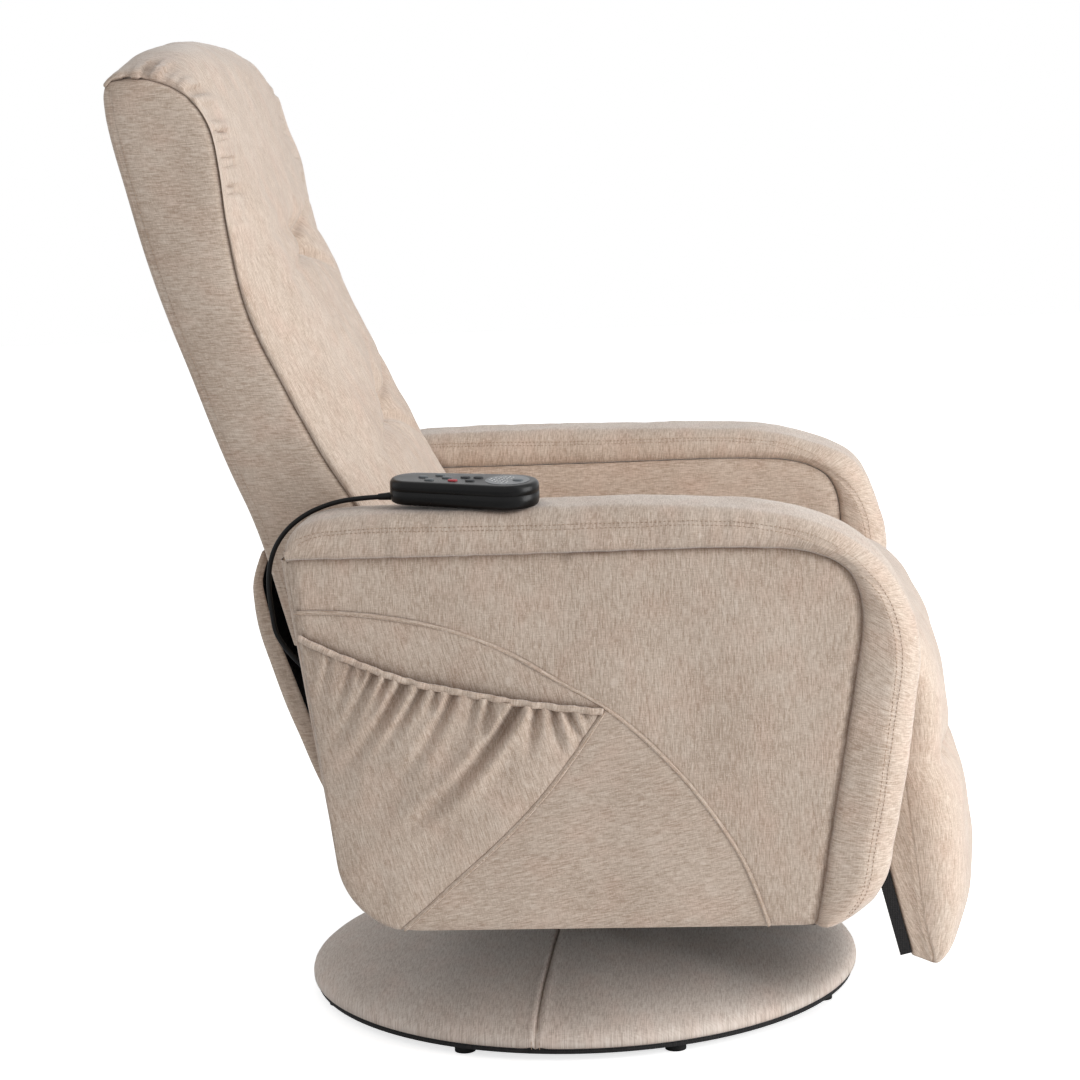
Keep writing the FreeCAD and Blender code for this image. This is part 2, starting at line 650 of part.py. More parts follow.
# ---------------------------------------------------------------- legrest

LEAN = math.radians(size("leg_lean"))


def leg_point(down, out):
    """A point on the leaning legrest: down its board from the knee pin, and out from it."""
    return (KNEE[0] + down * math.sin(LEAN) + out * math.cos(LEAN),
            KNEE[1] - down * math.cos(LEAN) + out * math.sin(LEAN))


def leg_outline(corners):
    """Corners given on the legrest as (down, out[, radius])."""
    return rounded([(*leg_point(c[0], c[1]), *c[2:]) for c in corners])


def build_legrest():
    """Board, pad with its knee roll, brackets with levers, pins and motors."""
    back, thick, front = size("board_back"), size("board_thick"), size("pad_front")
    length = size("leg_length")
    board = prism_xz_centred("legrest_board", leg_outline([(22, -back), (22, thick - back),
                             (length - 16, thick - back), (length - 16, -back)]),
                             f"2 * {cell('leg_half_width')}")
    keep(board, "legrest_board")

    roll = cylinder("knee_roll_bar", cell("knee_roll"), f"2 * {cell('leg_half_width')}",
                    (cell("knee_x"), cell("leg_half_width"), cell("knee_z")), "-y")
    face = thick - back
    slab = prism_xz_centred("leg_slab", leg_outline([(0, face), (0, 66), (92, 62, 60), (180, front + 4, 150),
                            (length + 2, front - 18, 42), (length, face + 12, 14), (length - 12, face)]),
                            f"2 * {cell('leg_half_width')}")
    behind = prism_xz_centred("behind_board", leg_outline([(18, face), (length + 60, face),
                              (length + 60, -120), (18, -120)]), f"2 * {cell('leg_half_width')} + 20")
    keep(cut("legrest_pad", fuse("legrest_pad_blank", roll, slab), behind), "legrest_pad")

    outline = leg_outline([(-24, 24, 22), (24, 24, 22), (62, face, 12), (150, face, 8), (150, -back - 4, 8),
                           (-4, -back - 4, 16), (-24, -24, 18)])
    plate = prism_xz("bracket_plate", outline, "251", "256")
    pocket_circle(plate, "bracket_bore", "XZ_Plane", KNEE, cell("pin_radius"))
    flange = prism_xz("bracket_flange", leg_outline([(60, -back), (148, -back), (148, -back - 4),
                      (60, -back - 4)]), "200", "256")
    stud = cylinder("bracket_stud", cell("stud_radius"), "9.5",
                    (f"{KNEE_EYE[0]}", "-253", f"{KNEE_EYE[1]}"), "-y")
    pair("legrest_brackets", fuse("bracket_right", plate, flange, stud))
    pair("legrest_pins", cylinder("legrest_pin_right", cell("pin_radius"), "18.5",
                                  (cell("knee_x"), "-251", cell("knee_z")), "-y"))

    motors = []
    normal = Vector(-math.cos(LEAN), 0, -math.sin(LEAN))
    for y in (-110, 110):
        x, z = leg_point(200, -back)
        motors.append(Part.makeCylinder(size("motor_radius"), size("motor_height"), Vector(x, y, z), normal))
    fixed_shape("legrest_motors", Part.makeCompound(motors))


# ---------------------------------------------------------------- handset

HANDSET = FreeCAD.Placement(Vector(-78, -338, 589), FreeCAD.Rotation(-12, 1.7, 4))
BUTTONS = {          # centre along and across the handset
    "back_button": (-42, 1), "speed_button": (-28, 11), "seat_button": (-32, -11),
    "mode_button": (-18, 1), "power_button": (-8, -11), "heat_button": (0, 5),
    "timer_button": (13, 6), "legs_button": (9, -9), "zone_button": (55, 0),
}


RELIEF_LENGTH = 14.8                # from inside the lower shell's wall to the relief's tip
RELIEF_ROOT = HANDSET.multVec(Vector(1.0 - size("handset_long") / 2, 0, 1.2))
LEAVES_TOWARDS = (-190, -313.5, 589.5)        # first turn of the handset's lead
RELIEF_AXIS = (Vector(*LEAVES_TOWARDS) - RELIEF_ROOT).normalize()


def handset_outline(inset=0.0):
    """The handset in plan: a round nose and a smaller round tail joined by tangent sides."""
    nose, tail = size("handset_nose") - inset, size("handset_tail") - inset
    nose_x = size("handset_long") / 2 - size("handset_nose")
    tail_x = size("handset_tail") - size("handset_long") / 2
    lean = math.acos((tail - nose) / (nose_x - tail_x) * -1)
    c, s = math.cos(lean), math.sin(lean)
    top_nose, low_nose = Vector(nose_x + nose * c, nose * s, 0), Vector(nose_x + nose * c, -nose * s, 0)
    top_tail, low_tail = Vector(tail_x + tail * c, tail * s, 0), Vector(tail_x + tail * c, -tail * s, 0)
    return [Part.Arc(low_nose, Vector(nose_x + nose, 0, 0), top_nose),
            Part.LineSegment(top_nose, top_tail),
            Part.Arc(top_tail, Vector(tail_x - tail, 0, 0), low_tail),
            Part.LineSegment(low_tail, low_nose)]


def slot_outline(x, y, long, wide):
    """A round-ended slot along the handset."""
    run, r = (long - wide) / 2, wide / 2
    return [Part.LineSegment(Vector(x - run, y - r, 0), Vector(x + run, y - r, 0)),
            Part.Arc(Vector(x + run, y - r, 0), Vector(x + run + r, y, 0), Vector(x + run, y + r, 0)),
            Part.LineSegment(Vector(x + run, y + r, 0), Vector(x - run, y + r, 0)),
            Part.Arc(Vector(x - run, y + r, 0), Vector(x - run - r, y, 0), Vector(x - run, y - r, 0))]


def handset_prism(label, geometry, low, high):
    """A body of the handset between two heights, lying on the arm."""
    body = doc.addObject("PartDesign::Body", label)
    sketch = add_sketch(body, "XY_Plane", f"{label}_outline", geometry, low)
    add_feature(body, "Pad", f"{label}_pad", sketch, f"({high}) - ({low})")
    body.Placement = HANDSET
    return body


def handset_pocket(body, name, geometry, low, high):
    """Cuts a handset body between two heights."""
    sketch = add_sketch(body, "XY_Plane", f"{name}_outline", geometry, high)
    add_feature(body, "Pocket", name, sketch, f"({high}) - ({low})")


def build_handset():
    """Lower shell, upper shell, circuit board, display disc, cord relief and buttons."""
    tall, split = cell("handset_tall"), cell("handset_split")
    wall = size("handset_wall")
    under = cell("handset_under")
    lower = handset_prism("handset_base", handset_outline(), f"0 - {under}", split)
    handset_pocket(lower, "handset_base_room", handset_outline(wall), f"{cell('handset_wall')} - {under}", split)
    keep(lower, "handset_base")

    upper = handset_prism("handset_top", handset_outline(), split, tall)
    handset_pocket(upper, "handset_top_room", handset_outline(wall), split, f"{tall} - 2.5")
    for name, (x, y) in BUTTONS.items():
        gap = 2 * size("button_gap")
        long, wide = size("button_long") + gap, size("button_wide") + gap
        handset_pocket(upper, f"{name}_hole", slot_outline(x, y, long, wide), f"{tall} - 3", tall)
    nose_x = size("handset_long") / 2 - size("handset_nose")
    ring = [Part.Circle(Vector(nose_x, 0, 0), Vector(0, 0, 1), 22)]
    handset_pocket(upper, "display_seat", ring, f"{tall} - 1", tall)
    keep(upper, "handset_top")

    keep(handset_prism("handset_circuit", handset_outline(3.5), f"{split} - 1.2", f"{split} + 0.4"),
         "handset_circuit")
    disc = handset_prism("handset_display", [Part.Circle(Vector(nose_x, 0, 0), Vector(0, 0, 1), 21.7)],
                         f"{tall} - 1", f"{tall} + 0.3")
    x, y = BUTTONS["zone_button"]
    clear = slot_outline(x, y, size("button_long") + 1, size("button_wide") + 1)
    handset_pocket(disc, "display_hole", clear, f"{tall} - 2", f"{tall} + 2")
    keep(disc, "handset_display")

    for name, (x, y) in BUTTONS.items():
        outline = slot_outline(x, y, size("button_long"), size("button_wide"))
        keep(handset_prism(name, outline, f"{tall} - 6.5", f"{tall} + 1.2"), name)

    relief = doc.addObject("Part::Cone", "cord_relief")
    relief.Radius1, relief.Radius2, relief.Height = 4.0, 3.2, RELIEF_LENGTH
    relief.Placement = FreeCAD.Placement(RELIEF_ROOT, FreeCAD.Rotation(Vector(0, 0, 1), RELIEF_AXIS))
    socket = doc.getObject("handset_base")
    keep(cut("handset_relief", relief, socket), "handset_relief")


# ---------------------------------------------------------------- handset cord

ARM_EXIT = (-251.5, -311, 421)      # mouth of the gland on the back of the right arm
CORD_ROUTE = [
    tuple(RELIEF_ROOT + RELIEF_AXIS * (RELIEF_LENGTH + 0.1)), LEAVES_TOWARDS, (-214, -309, 585), (-240, -305.5, 575), (-262, -304.5, 559),
    (-277, -304.5, 537), (-282.5, -307, 510), (-280, -310, 478), (-275.5, -312, 446), ARM_EXIT,
]


def cord_wire(points):
    """Straight runs joined by tangent arcs, each arc as large as its two runs allow."""
    points = [Vector(*p) for p in points]
    ends, arcs, radii = [(points[0], points[0])], [None], []
    for before, here, after in zip(points, points[1:], points[2:]):
        back, ahead = before - here, after - here
        reach = 0.45 * min(back.Length, ahead.Length)
        back.normalize()
        ahead.normalize()
        half = back.getAngle(ahead) / 2
        radius = reach * math.tan(half)
        radii.append(radius)
        start, end = here + back * reach, here + ahead * reach
        middle = here + (back + ahead).normalize() * (radius / math.sin(half) - radius)
        ends.append((start, end))
        arcs.append(Part.Arc(start, middle, end))
    ends.append((points[-1], points[-1]))
    arcs.append(None)
    edges = []
    for i in range(len(points) - 1):
        if arcs[i]:
            edges.append(arcs[i].toShape())
        edges.append(Part.LineSegment(ends[i][1], ends[i + 1][0]).toShape())
    return Part.Wire(edges), radii


def build_cord():
    """The handset's lead, from its relief over the arm and down to a gland behind it."""
    wire, radii = cord_wire(CORD_ROUTE)
    radius = size("cord_thick") / 2
    tube = swept_tube(wire, radius)
    print(f"cord length {wire.Length:.1f} mm, tightest arc {min(radii):.1f} mm, radii "
          + " ".join(f"{r:.0f}" for r in radii))
    print(f"cord volume over section times length {tube.Volume / (math.pi * radius ** 2 * wire.Length):.4f}")
    fixed_shape("handset_cord", tube)

    x, y, z = ARM_EXIT
    boss = cylinder("gland_boss", "6.5", "20", (f"{x}", f"{y}", f"{z}"), "x")
    keep(cut("cord_gland", boss, doc.getObject("gland_seat")), "cord_gland")


def build_gland_seat():
    """The arm's closed outline, which the gland is trimmed to."""
    prism_xz("gland_seat", side_outline(), ARM_INNER, HALF_WIDTH)


# ---------------------------------------------------------------- build and export

def check():
    """Stops if any object failed or any sub-part isn't a valid shape."""
    bad = [o.Name for o in doc.Objects if {"Invalid", "Error"} & set(o.State)]
    if bad:
        raise RuntimeError(f"failed objects: {bad}")
    for node in nodes:
        shape = node.Shape
        if shape.isNull() or not shape.isValid() or not shape.Solids:
            raise RuntimeError(f"{node.Label} has no valid solid")


def export():
    """Writes each sub-part to parts/LABEL.step."""
    os.makedirs("parts", exist_ok=True)
    for node in nodes:
        shape = Part.makeCompound(node.Shape.Solids) if len(node.Shape.Solids) > 1 else node.Shape.Solids[0]
        shape.exportStep(f"parts/{node.Label}.step")
    print(f"{len(nodes)} nodes written")


def main():
    """Builds every assembly in order and writes it."""
    build_base()
    build_chassis()
    for side, name in ((-1, "right"), (1, "left")):
        build_arm(side, name)
    build_inner_panels()
    build_pocket()
    build_side_plates()
    build_push_rods()
    build_seat()
    build_back_frame()
    build_back_soft()
    build_skirt()
    build_legrest()
    build_handset()
    build_gland_seat()
    build_cord()
    doc.recompute()
    check()
    export()


main()
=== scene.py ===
"""Visual model of an upholstered swivel recliner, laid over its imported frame.

Lengths in the piece classes are millimetres in the row frame: +X towards the feet, +Y to the
sitter's left, +Z up. They become metres where a mesh is made.
"""
from __future__ import annotations

import logging
import math
from dataclasses import dataclass, field
from enum import Enum
from typing import Callable, Sequence

import bpy
import numpy as np
from mathutils import Euler, Matrix, Vector
from mathutils.bvhtree import BVHTree
from mathutils.geometry import delaunay_2d_cdt


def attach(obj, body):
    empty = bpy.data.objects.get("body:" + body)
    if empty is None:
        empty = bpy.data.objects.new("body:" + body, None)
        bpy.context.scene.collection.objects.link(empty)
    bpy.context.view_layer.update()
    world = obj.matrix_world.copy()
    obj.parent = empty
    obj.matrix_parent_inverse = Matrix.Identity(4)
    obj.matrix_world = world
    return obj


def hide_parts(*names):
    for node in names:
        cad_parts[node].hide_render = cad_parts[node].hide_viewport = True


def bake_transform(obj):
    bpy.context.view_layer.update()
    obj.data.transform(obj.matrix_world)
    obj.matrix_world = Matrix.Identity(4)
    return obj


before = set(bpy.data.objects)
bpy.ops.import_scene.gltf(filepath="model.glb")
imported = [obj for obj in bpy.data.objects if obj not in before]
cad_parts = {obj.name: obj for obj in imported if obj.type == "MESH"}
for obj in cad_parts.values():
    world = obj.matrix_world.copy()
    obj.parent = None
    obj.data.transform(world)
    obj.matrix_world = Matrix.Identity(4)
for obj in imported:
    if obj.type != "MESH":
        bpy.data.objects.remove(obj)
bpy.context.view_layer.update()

LOG = logging.getLogger("chair")
MM = 0.001
Array = np.ndarray
Object = bpy.types.Object
Material = bpy.types.Material
Tree = bpy.types.NodeTree
Node = bpy.types.Node
Socket = bpy.types.NodeSocket
Colour = tuple[float, float, float, float]
FAR = 1.0                                # seam distance of a point that no seam is near


# ---------------------------------------------------------------- lines and sections

def smooth_line(points: Sequence[Sequence[float]], count: int) -> Array:
    """Draws a smooth line through points of any dimension.

    Args:
        points: The points, in order.
        count: How many evenly spaced points to return.

    Returns:
        An array of count rows.
    """
    p = np.asarray(points, float)
    gaps = np.linalg.norm(np.diff(p, axis=0), axis=1)
    slope = np.diff(p, axis=0) / gaps[:, None]
    tangent = np.empty_like(p)
    tangent[0], tangent[-1] = slope[0], slope[-1]
    weight = gaps[:-1, None] / (gaps[:-1] + gaps[1:])[:, None]
    tangent[1:-1] = slope[:-1] * (1 - weight) + slope[1:] * weight
    dense = []
    for i, gap in enumerate(gaps):
        t = np.linspace(0, 1, 12, endpoint=False)[:, None]
        dense.append((2 * t**3 - 3 * t**2 + 1) * p[i] + (t**3 - 2 * t**2 + t) * gap * tangent[i]
                     + (3 * t**2 - 2 * t**3) * p[i + 1] + (t**3 - t**2) * gap * tangent[i + 1])
    dense.append(p[-1:])
    return evenly(np.vstack(dense), count)


def evenly(line: Array, count: int) -> Array:
    """Resamples a polyline to count points, evenly spaced along it."""
    s = run_length(line)
    at = np.linspace(0, s[-1], count)
    return np.stack([np.interp(at, s, line[:, k]) for k in range(line.shape[1])], axis=1)


def run_length(line: Array) -> Array:
    """Distance along a polyline at each of its points."""
    return np.concatenate([[0], np.cumsum(np.linalg.norm(np.diff(line, axis=0), axis=1))])


def distance_to_line(points: Array, line: Array) -> Array:
    """Shortest distance from each point to a polyline.

    Args:
        points: An array of N points.
        line: An array of M points in the same number of dimensions.

    Returns:
        N distances.
    """
    best = np.full(len(points), 1e9)
    for a, b in zip(line[:-1], line[1:]):
        d = b - a
        t = np.clip(((points - a) @ d) / max(float(d @ d), 1e-12), 0, 1)
        best = np.minimum(best, np.linalg.norm(points - a - t[:, None] * d, axis=1))
    return best


def with_y(line: Array, y: float | Array) -> Array:
    """Gives a Y to each (x, z) point."""
    return np.column_stack([line[:, 0], np.broadcast_to(y, len(line)), line[:, 1]])


def rounded_corner(a: Sequence[float], corner: Sequence[float], b: Sequence[float],
                   radius: float, steps: int = 10) -> list[tuple[float, float]]:
    """Points of an arc that rounds one corner of a polygon in the plane."""
    a, corner, b = (np.asarray(v, float) for v in (a, corner, b))
    u, v = (a - corner) / np.linalg.norm(a - corner), (b - corner) / np.linalg.norm(b - corner)
    half = math.acos(float(np.clip(u @ v, -1, 1))) / 2
    reach = radius / math.tan(half)
    centre = corner + (u + v) / np.linalg.norm(u + v) * radius / math.sin(half)
    start, end = corner + u * reach - centre, corner + v * reach - centre
    points = []
    for t in np.linspace(0, 1, steps):
        ray = start * (1 - t) + end * t
        points.append(tuple(centre + ray / np.linalg.norm(ray) * radius))
    return points


def ripple(u: Array, v: Array, wave: float, seed: int) -> Array:
    """Smooth pseudo-random height, about -1 to 1, over a surface.

    Args:
        u: First coordinate, in millimetres.
        v: Second coordinate.
        wave: Typical distance between crests.
        seed: Which pattern.

    Returns:
        One height for each point.
    """
    rng = np.random.default_rng(seed)
    total = np.zeros(np.broadcast(u, v).shape)
    for _ in range(7):
        angle, phase = rng.uniform(0, math.tau, 2)
        k = math.tau / (wave * rng.uniform(0.7, 1.6))
        total = total + np.sin(k * (u * math.cos(angle) + v * math.sin(angle)) + phase)
    return total / 3.2


# ---------------------------------------------------------------- meshes

def linked(name: str, data: bpy.types.ID) -> Object:
    """Puts a mesh, curve, lamp or camera into the scene."""
    obj = bpy.data.objects.new(name, data)
    bpy.context.scene.collection.objects.link(obj)
    return obj


def evaluated_mesh(obj: Object) -> bpy.types.Mesh:
    """The mesh that an object's modifiers or curve settings make."""
    graph = bpy.context.evaluated_depsgraph_get()
    return bpy.data.meshes.new_from_object(obj.evaluated_get(graph))


def smooth_shaded(mesh: bpy.types.Mesh) -> None:
    """Shades every face smooth."""
    mesh.polygons.foreach_set("use_smooth", np.ones(len(mesh.polygons), bool))


def new_object(name: str, vertices: Array, faces: Sequence[Sequence[int]],
               uv: Array | None = None) -> Object:
    """Makes a smooth-shaded mesh object from millimetre points.

    Args:
        name: The piece's name.
        vertices: An array of N points in millimetres.
        faces: Vertex numbers of each face.
        uv: One cloth coordinate in millimetres for each face corner, or None.

    Returns:
        The object, at the origin.
    """
    mesh = bpy.data.meshes.new(name)
    mesh.from_pydata((np.asarray(vertices) * MM).tolist(), [], [list(map(int, f)) for f in faces])
    mesh.validate()
    if uv is not None:
        layer = mesh.uv_layers.new(name="cloth")
        layer.data.foreach_set("uv", (np.asarray(uv, np.float32) * MM).ravel())
    smooth_shaded(mesh)
    mesh.update()
    obj = linked(name, mesh)
    mark_seams(obj, [])
    return obj


def skin(name: str, points: Array, wrap: bool = False, caps: bool = False,
         uv: Array | None = None) -> Object:
    """Covers a grid of points with quads.

    Args:
        name: The piece's name.
        points: Rows by columns by 3, in millimetres.
        wrap: True joins the last column to the first.
        caps: True closes the first and last rows with a fan.
        uv: Rows by columns by 2 cloth coordinates, with one more column if it wraps; without
            it they are the lengths along the grid's rows and columns.

    Returns:
        The object.
    """
    rows, cols = points.shape[:2]
    if uv is None:
        closed = np.concatenate([points, points[:, :1]], axis=1) if wrap else points
        across = np.cumsum(np.linalg.norm(np.diff(closed, axis=1), axis=2), axis=1)
        across = np.concatenate([np.zeros((rows, 1)), across], axis=1)
        across -= across.mean(axis=1, keepdims=True)
        middle = points[:, cols // 2]
        along = run_length(middle)[:, None] * np.ones((1, closed.shape[1]))
        uv = np.stack([along, across], axis=2)
    faces, corners = [], []
    for r in range(rows - 1):
        for c in range(cols if wrap else cols - 1):
            d = (c + 1) % cols
            faces.append((r * cols + c, r * cols + d, (r + 1) * cols + d, (r + 1) * cols + c))
            corners += [uv[r, c], uv[r, c + 1], uv[r + 1, c + 1], uv[r + 1, c]]
    vertices = points.reshape(-1, 3)
    if caps:
        for row, flip in ((0, True), (rows - 1, False)):
            hub = len(vertices)
            vertices = np.vstack([vertices, points[row].mean(axis=0)])
            middle = uv[row].mean(axis=0)
            for c in range(cols):
                a, b = row * cols + c, row * cols + (c + 1) % cols
                faces.append((hub, b, a) if flip else (hub, a, b))
                corners += [middle, uv[row, c + 1], uv[row, c]] if flip else \
                    [middle, uv[row, c], uv[row, c + 1]]
    obj = new_object(name, vertices, faces, np.array(corners))
    outward(obj)
    return obj


def outward(obj: Object) -> None:
    """Turns a closed mesh right side out, judged by its signed volume."""
    mesh = obj.data
    mesh.calc_loop_triangles()
    co = coordinates(obj)
    co = co - co.mean(axis=0)
    tri = np.zeros(len(mesh.loop_triangles) * 3, np.int32)
    mesh.loop_triangles.foreach_get("vertices", tri)
    a, b, c = (co[tri.reshape(-1, 3)[:, k]] for k in range(3))
    if float(np.einsum("ij,ij->i", a, np.cross(b, c)).sum()) < 0:
        mesh.flip_normals()


def coordinates(obj: Object) -> Array:
    """The mesh's points, in millimetres."""
    co = np.zeros(len(obj.data.vertices) * 3, np.float32)
    obj.data.vertices.foreach_get("co", co)
    return co.reshape(-1, 3).astype(float) / MM


def set_coordinates(obj: Object, co: Array) -> None:
    """Moves the mesh's points, given in millimetres."""
    obj.data.vertices.foreach_set("co", (co * MM).astype(np.float32).ravel())
    obj.data.update()


def normals(obj: Object) -> Array:
    """The mesh's vertex normals."""
    n = np.zeros(len(obj.data.vertices) * 3, np.float32)
    obj.data.vertex_normals.foreach_get("vector", n)
    return n.reshape(-1, 3).astype(float)


def mark_seams(obj: Object, lines: Sequence[Array]) -> None:
    """Stores each point's distance to the nearest seam line, which the cloth's finish reads to paint
    shade along the seam and to sink its bump there.
    """
    mesh = obj.data
    distance = np.full(len(mesh.vertices), FAR)
    co = coordinates(obj)
    for line in lines:
        distance = np.minimum(distance, distance_to_line(co, np.asarray(line)) * MM)
    layer = mesh.attributes.get("seam") or mesh.attributes.new("seam", "FLOAT", "POINT")
    layer.data.foreach_set("value", distance.astype(np.float32))


def subdivided(obj: Object, levels: int = 1) -> Object:
    """Applies a subdivision surface."""
    modifier = obj.modifiers.new("smooth", "SUBSURF")
    modifier.levels = modifier.render_levels = levels
    return applied(obj)


def applied(obj: Object) -> Object:
    """Bakes an object's modifiers into its mesh."""
    mesh = evaluated_mesh(obj)
    obj.modifiers.clear()
    obj.data = mesh
    return obj


def surface(obj: Object) -> BVHTree:
    """A tree for finding points on a mesh, in metres."""
    co = [v.co.copy() for v in obj.data.vertices]
    return BVHTree.FromPolygons(co, [list(p.vertices) for p in obj.data.polygons])


def on_surface(tree: BVHTree, line: Array, lift: float = 0.0) -> Array:
    """Moves a millimetre polyline onto a surface, and off it by lift."""
    moved = []
    for point in line:
        place, normal, _, _ = tree.find_nearest(Vector(point) * MM)
        moved.append(np.array(place + normal * lift * MM) / MM)
    return np.array(moved)


def filled_panel(name: str, outline: Array, spacing: float,
                 depth: Callable[[Array], Array], facing: int) -> Object:
    """Fills an outline in the XZ plane with an even net of triangles.

    Args:
        name: The piece's name.
        outline: Points (x, z) round the panel.
        spacing: Distance between points of the net.
        depth: Gives Y for an array of (x, z).
        facing: -1 if the panel faces the sitter's right, +1 if it faces the left.

    Returns:
        The object, with cloth coordinates (x, z).
    """
    edge = evenly(np.vstack([outline, outline[:1]]), int(run_length(outline)[-1] / spacing) + 8)[:-1]
    low, high = edge.min(axis=0), edge.max(axis=0)
    xs = np.arange(low[0], high[0], spacing)
    zs = np.arange(low[1], high[1], spacing * 0.87)
    inner = np.array([(x + (k % 2) * spacing / 2, z) for k, z in enumerate(zs) for x in xs])
    clear = distance_to_line(inner, np.vstack([edge, edge[:1]])) > spacing * 0.6
    inner = inner[inside(inner, edge) & clear]
    flat = np.vstack([edge, inner])
    loop = [(k, (k + 1) % len(edge)) for k in range(len(edge))]
    points, _, faces, *_ = delaunay_2d_cdt([Vector(p) for p in flat], loop, [], 1, 1e-6)
    flat = np.array([(p.x, p.y) for p in points])
    vertices = with_y(flat, depth(flat))
    faces = [f for f in faces if len(f) == 3]
    turned = []
    for f in faces:
        a, b, c = vertices[f[0]], vertices[f[1]], vertices[f[2]]
        turned.append(f if np.cross(b - a, c - a)[1] * facing > 0 else f[::-1])
    uv = np.array([flat[k] for f in turned for k in f])
    return new_object(name, vertices, turned, uv)


def inside(points: Array, polygon: Array) -> Array:
    """Which points lie inside a polygon."""
    x, y = points[:, 0], points[:, 1]
    result = np.zeros(len(points), bool)
    for (x1, y1), (x2, y2) in zip(polygon, np.roll(polygon, -1, axis=0)):
        crosses = (y1 > y) != (y2 > y)
        result ^= crosses & (x < (x2 - x1) * (y - y1) / (y2 - y1 + 1e-12) + x1)
    return result


def ride(obj: Object, body: str, slot: str, finish: Material, *nodes: str) -> Object:
    """Dresses a piece, fixes it to its body and hides the nodes it stands for.

    Args:
        obj: The piece.
        body: The CAD body it moves with.
        slot: The record's material slot; not used.
        finish: Its material.
        nodes: CAD nodes that it replaces.

    Returns:
        The piece.
    """
    if not obj.data.materials:
        obj.data.materials.append(finish)
    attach(obj, body)
    if nodes:
        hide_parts(*nodes)
    LOG.info("%s rides on %s", obj.name, body)
    return obj


def inflate(obj: Object, pinned: Array, pressure: float, cap: float, frames: int = 20) -> None:
    """Swells a closed mesh as stuffed cloth, and keeps the result.

    Args:
        obj: The piece.
        pinned: For each point, how firmly it is sewn down, from 0 to 1.
        pressure: The air pressure that stands in for the filling.
        cap: The furthest a point may move, in millimetres.
        frames: How many steps to run.
    """
    before = coordinates(obj)
    group = obj.vertex_groups.new(name="sewn")
    for level in np.unique(np.round(pinned, 1)):
        if level > 0:
            members = np.flatnonzero(np.round(pinned, 1) == level).tolist()
            group.add(members, float(level), "REPLACE")
    cloth = obj.modifiers.new("stuffing", "CLOTH")
    cloth.settings.quality = 5
    cloth.settings.mass = 0.3
    cloth.settings.tension_stiffness = cloth.settings.compression_stiffness = 18
    cloth.settings.shear_stiffness = 8
    cloth.settings.bending_stiffness = 0.6
    cloth.settings.use_pressure = True
    cloth.settings.uniform_pressure_force = pressure
    cloth.settings.vertex_group_mass = "sewn"
    cloth.settings.effector_weights.gravity = 0
    cloth.collision_settings.use_self_collision = False
    cloth.point_cache.frame_start, cloth.point_cache.frame_end = 1, frames
    for step in range(1, frames + 1):
        bpy.context.scene.frame_set(step)
    graph = bpy.context.evaluated_depsgraph_get()
    swollen = obj.evaluated_get(graph).to_mesh()
    after = np.zeros(len(swollen.vertices) * 3, np.float32)
    swollen.vertices.foreach_get("co", after)
    after = after.reshape(-1, 3).astype(float) / MM
    obj.evaluated_get(graph).to_mesh_clear()
    obj.modifiers.clear()
    obj.vertex_groups.clear()
    bpy.context.scene.frame_set(1)
    move = after - before
    length = np.maximum(np.linalg.norm(move, axis=1, keepdims=True), 1e-6)
    set_coordinates(obj, before + move / length * cap * np.tanh(length / cap))
    LOG.info("%s swelled by %.1f mm at most", obj.name, float(length.max()))


# ---------------------------------------------------------------- finishes

class Grain(Enum):
    """Which way the cloth's yarns run, as a turn of its coordinates in degrees."""

    UP = 0.0
    ACROSS = 90.0
    TILTED = 80.0
    LEANING = -14.0


class Sockets:
    """Short ways to add and join shader nodes in one tree."""

    def __init__(self, tree: Tree) -> None:
        """Keeps the tree."""
        self.tree = tree

    def node(self, kind: str, **settings: object) -> Node:
        """Adds a node and sets its properties, or its sockets where the name has a capital."""
        made = self.tree.nodes.new(kind)
        for name, value in settings.items():
            if name[0].isupper():
                made.inputs[name.replace("_", " ")].default_value = value
            else:
                setattr(made, name, value)
        return made

    def join(self, source: Socket, target: Socket) -> None:
        """Links two sockets."""
        self.tree.links.new(source, target)

    def stretched(self, vector: Socket, scale: tuple[float, float, float]) -> Socket:
        """The coordinates, scaled by axis."""
        multiply = self.node("ShaderNodeVectorMath", operation="MULTIPLY")
        multiply.inputs[1].default_value = scale
        self.join(vector, multiply.inputs[0])
        return multiply.outputs[0]

    def noise(self, vector: Socket, scale: tuple[float, float, float],
              detail: float = 2.0, distortion: float = 0.0) -> Socket:
        """Noise on scaled coordinates, per metre."""
        made = self.node("ShaderNodeTexNoise", Scale=1.0, Detail=detail, Roughness=0.55,
                         Distortion=distortion)
        self.join(self.stretched(vector, scale), made.inputs["Vector"])
        return made.outputs[0]

    def spread(self, value: Socket, low: float, high: float,
               to_low: float = 0.0, to_high: float = 1.0) -> Socket:
        """Maps a range of values to another, clamped."""
        made = self.node("ShaderNodeMapRange", clamp=True)
        for k, number in enumerate((low, high, to_low, to_high), start=1):
            made.inputs[k].default_value = number
        self.join(value, made.inputs[0])
        return made.outputs[0]

    def mix(self, factor: Socket, a: object, b: object, way: str = "MIX") -> Socket:
        """Mixes two colours, each a socket or a value."""
        made = self.node("ShaderNodeMix", data_type="RGBA", blend_type=way)
        self.join(factor, made.inputs[0])
        for k, colour in ((6, a), (7, b)):
            if isinstance(colour, Socket):
                self.join(colour, made.inputs[k])
            else:
                made.inputs[k].default_value = colour
        return made.outputs[2]

    def maths(self, operation: str, a: object, b: object) -> Socket:
        """One sum of two values, each a socket or a number."""
        made = self.node("ShaderNodeMath", operation=operation)
        for k, value in enumerate((a, b)):
            if isinstance(value, Socket):
                self.join(value, made.inputs[k])
            else:
                made.inputs[k].default_value = value
        return made.outputs[0]


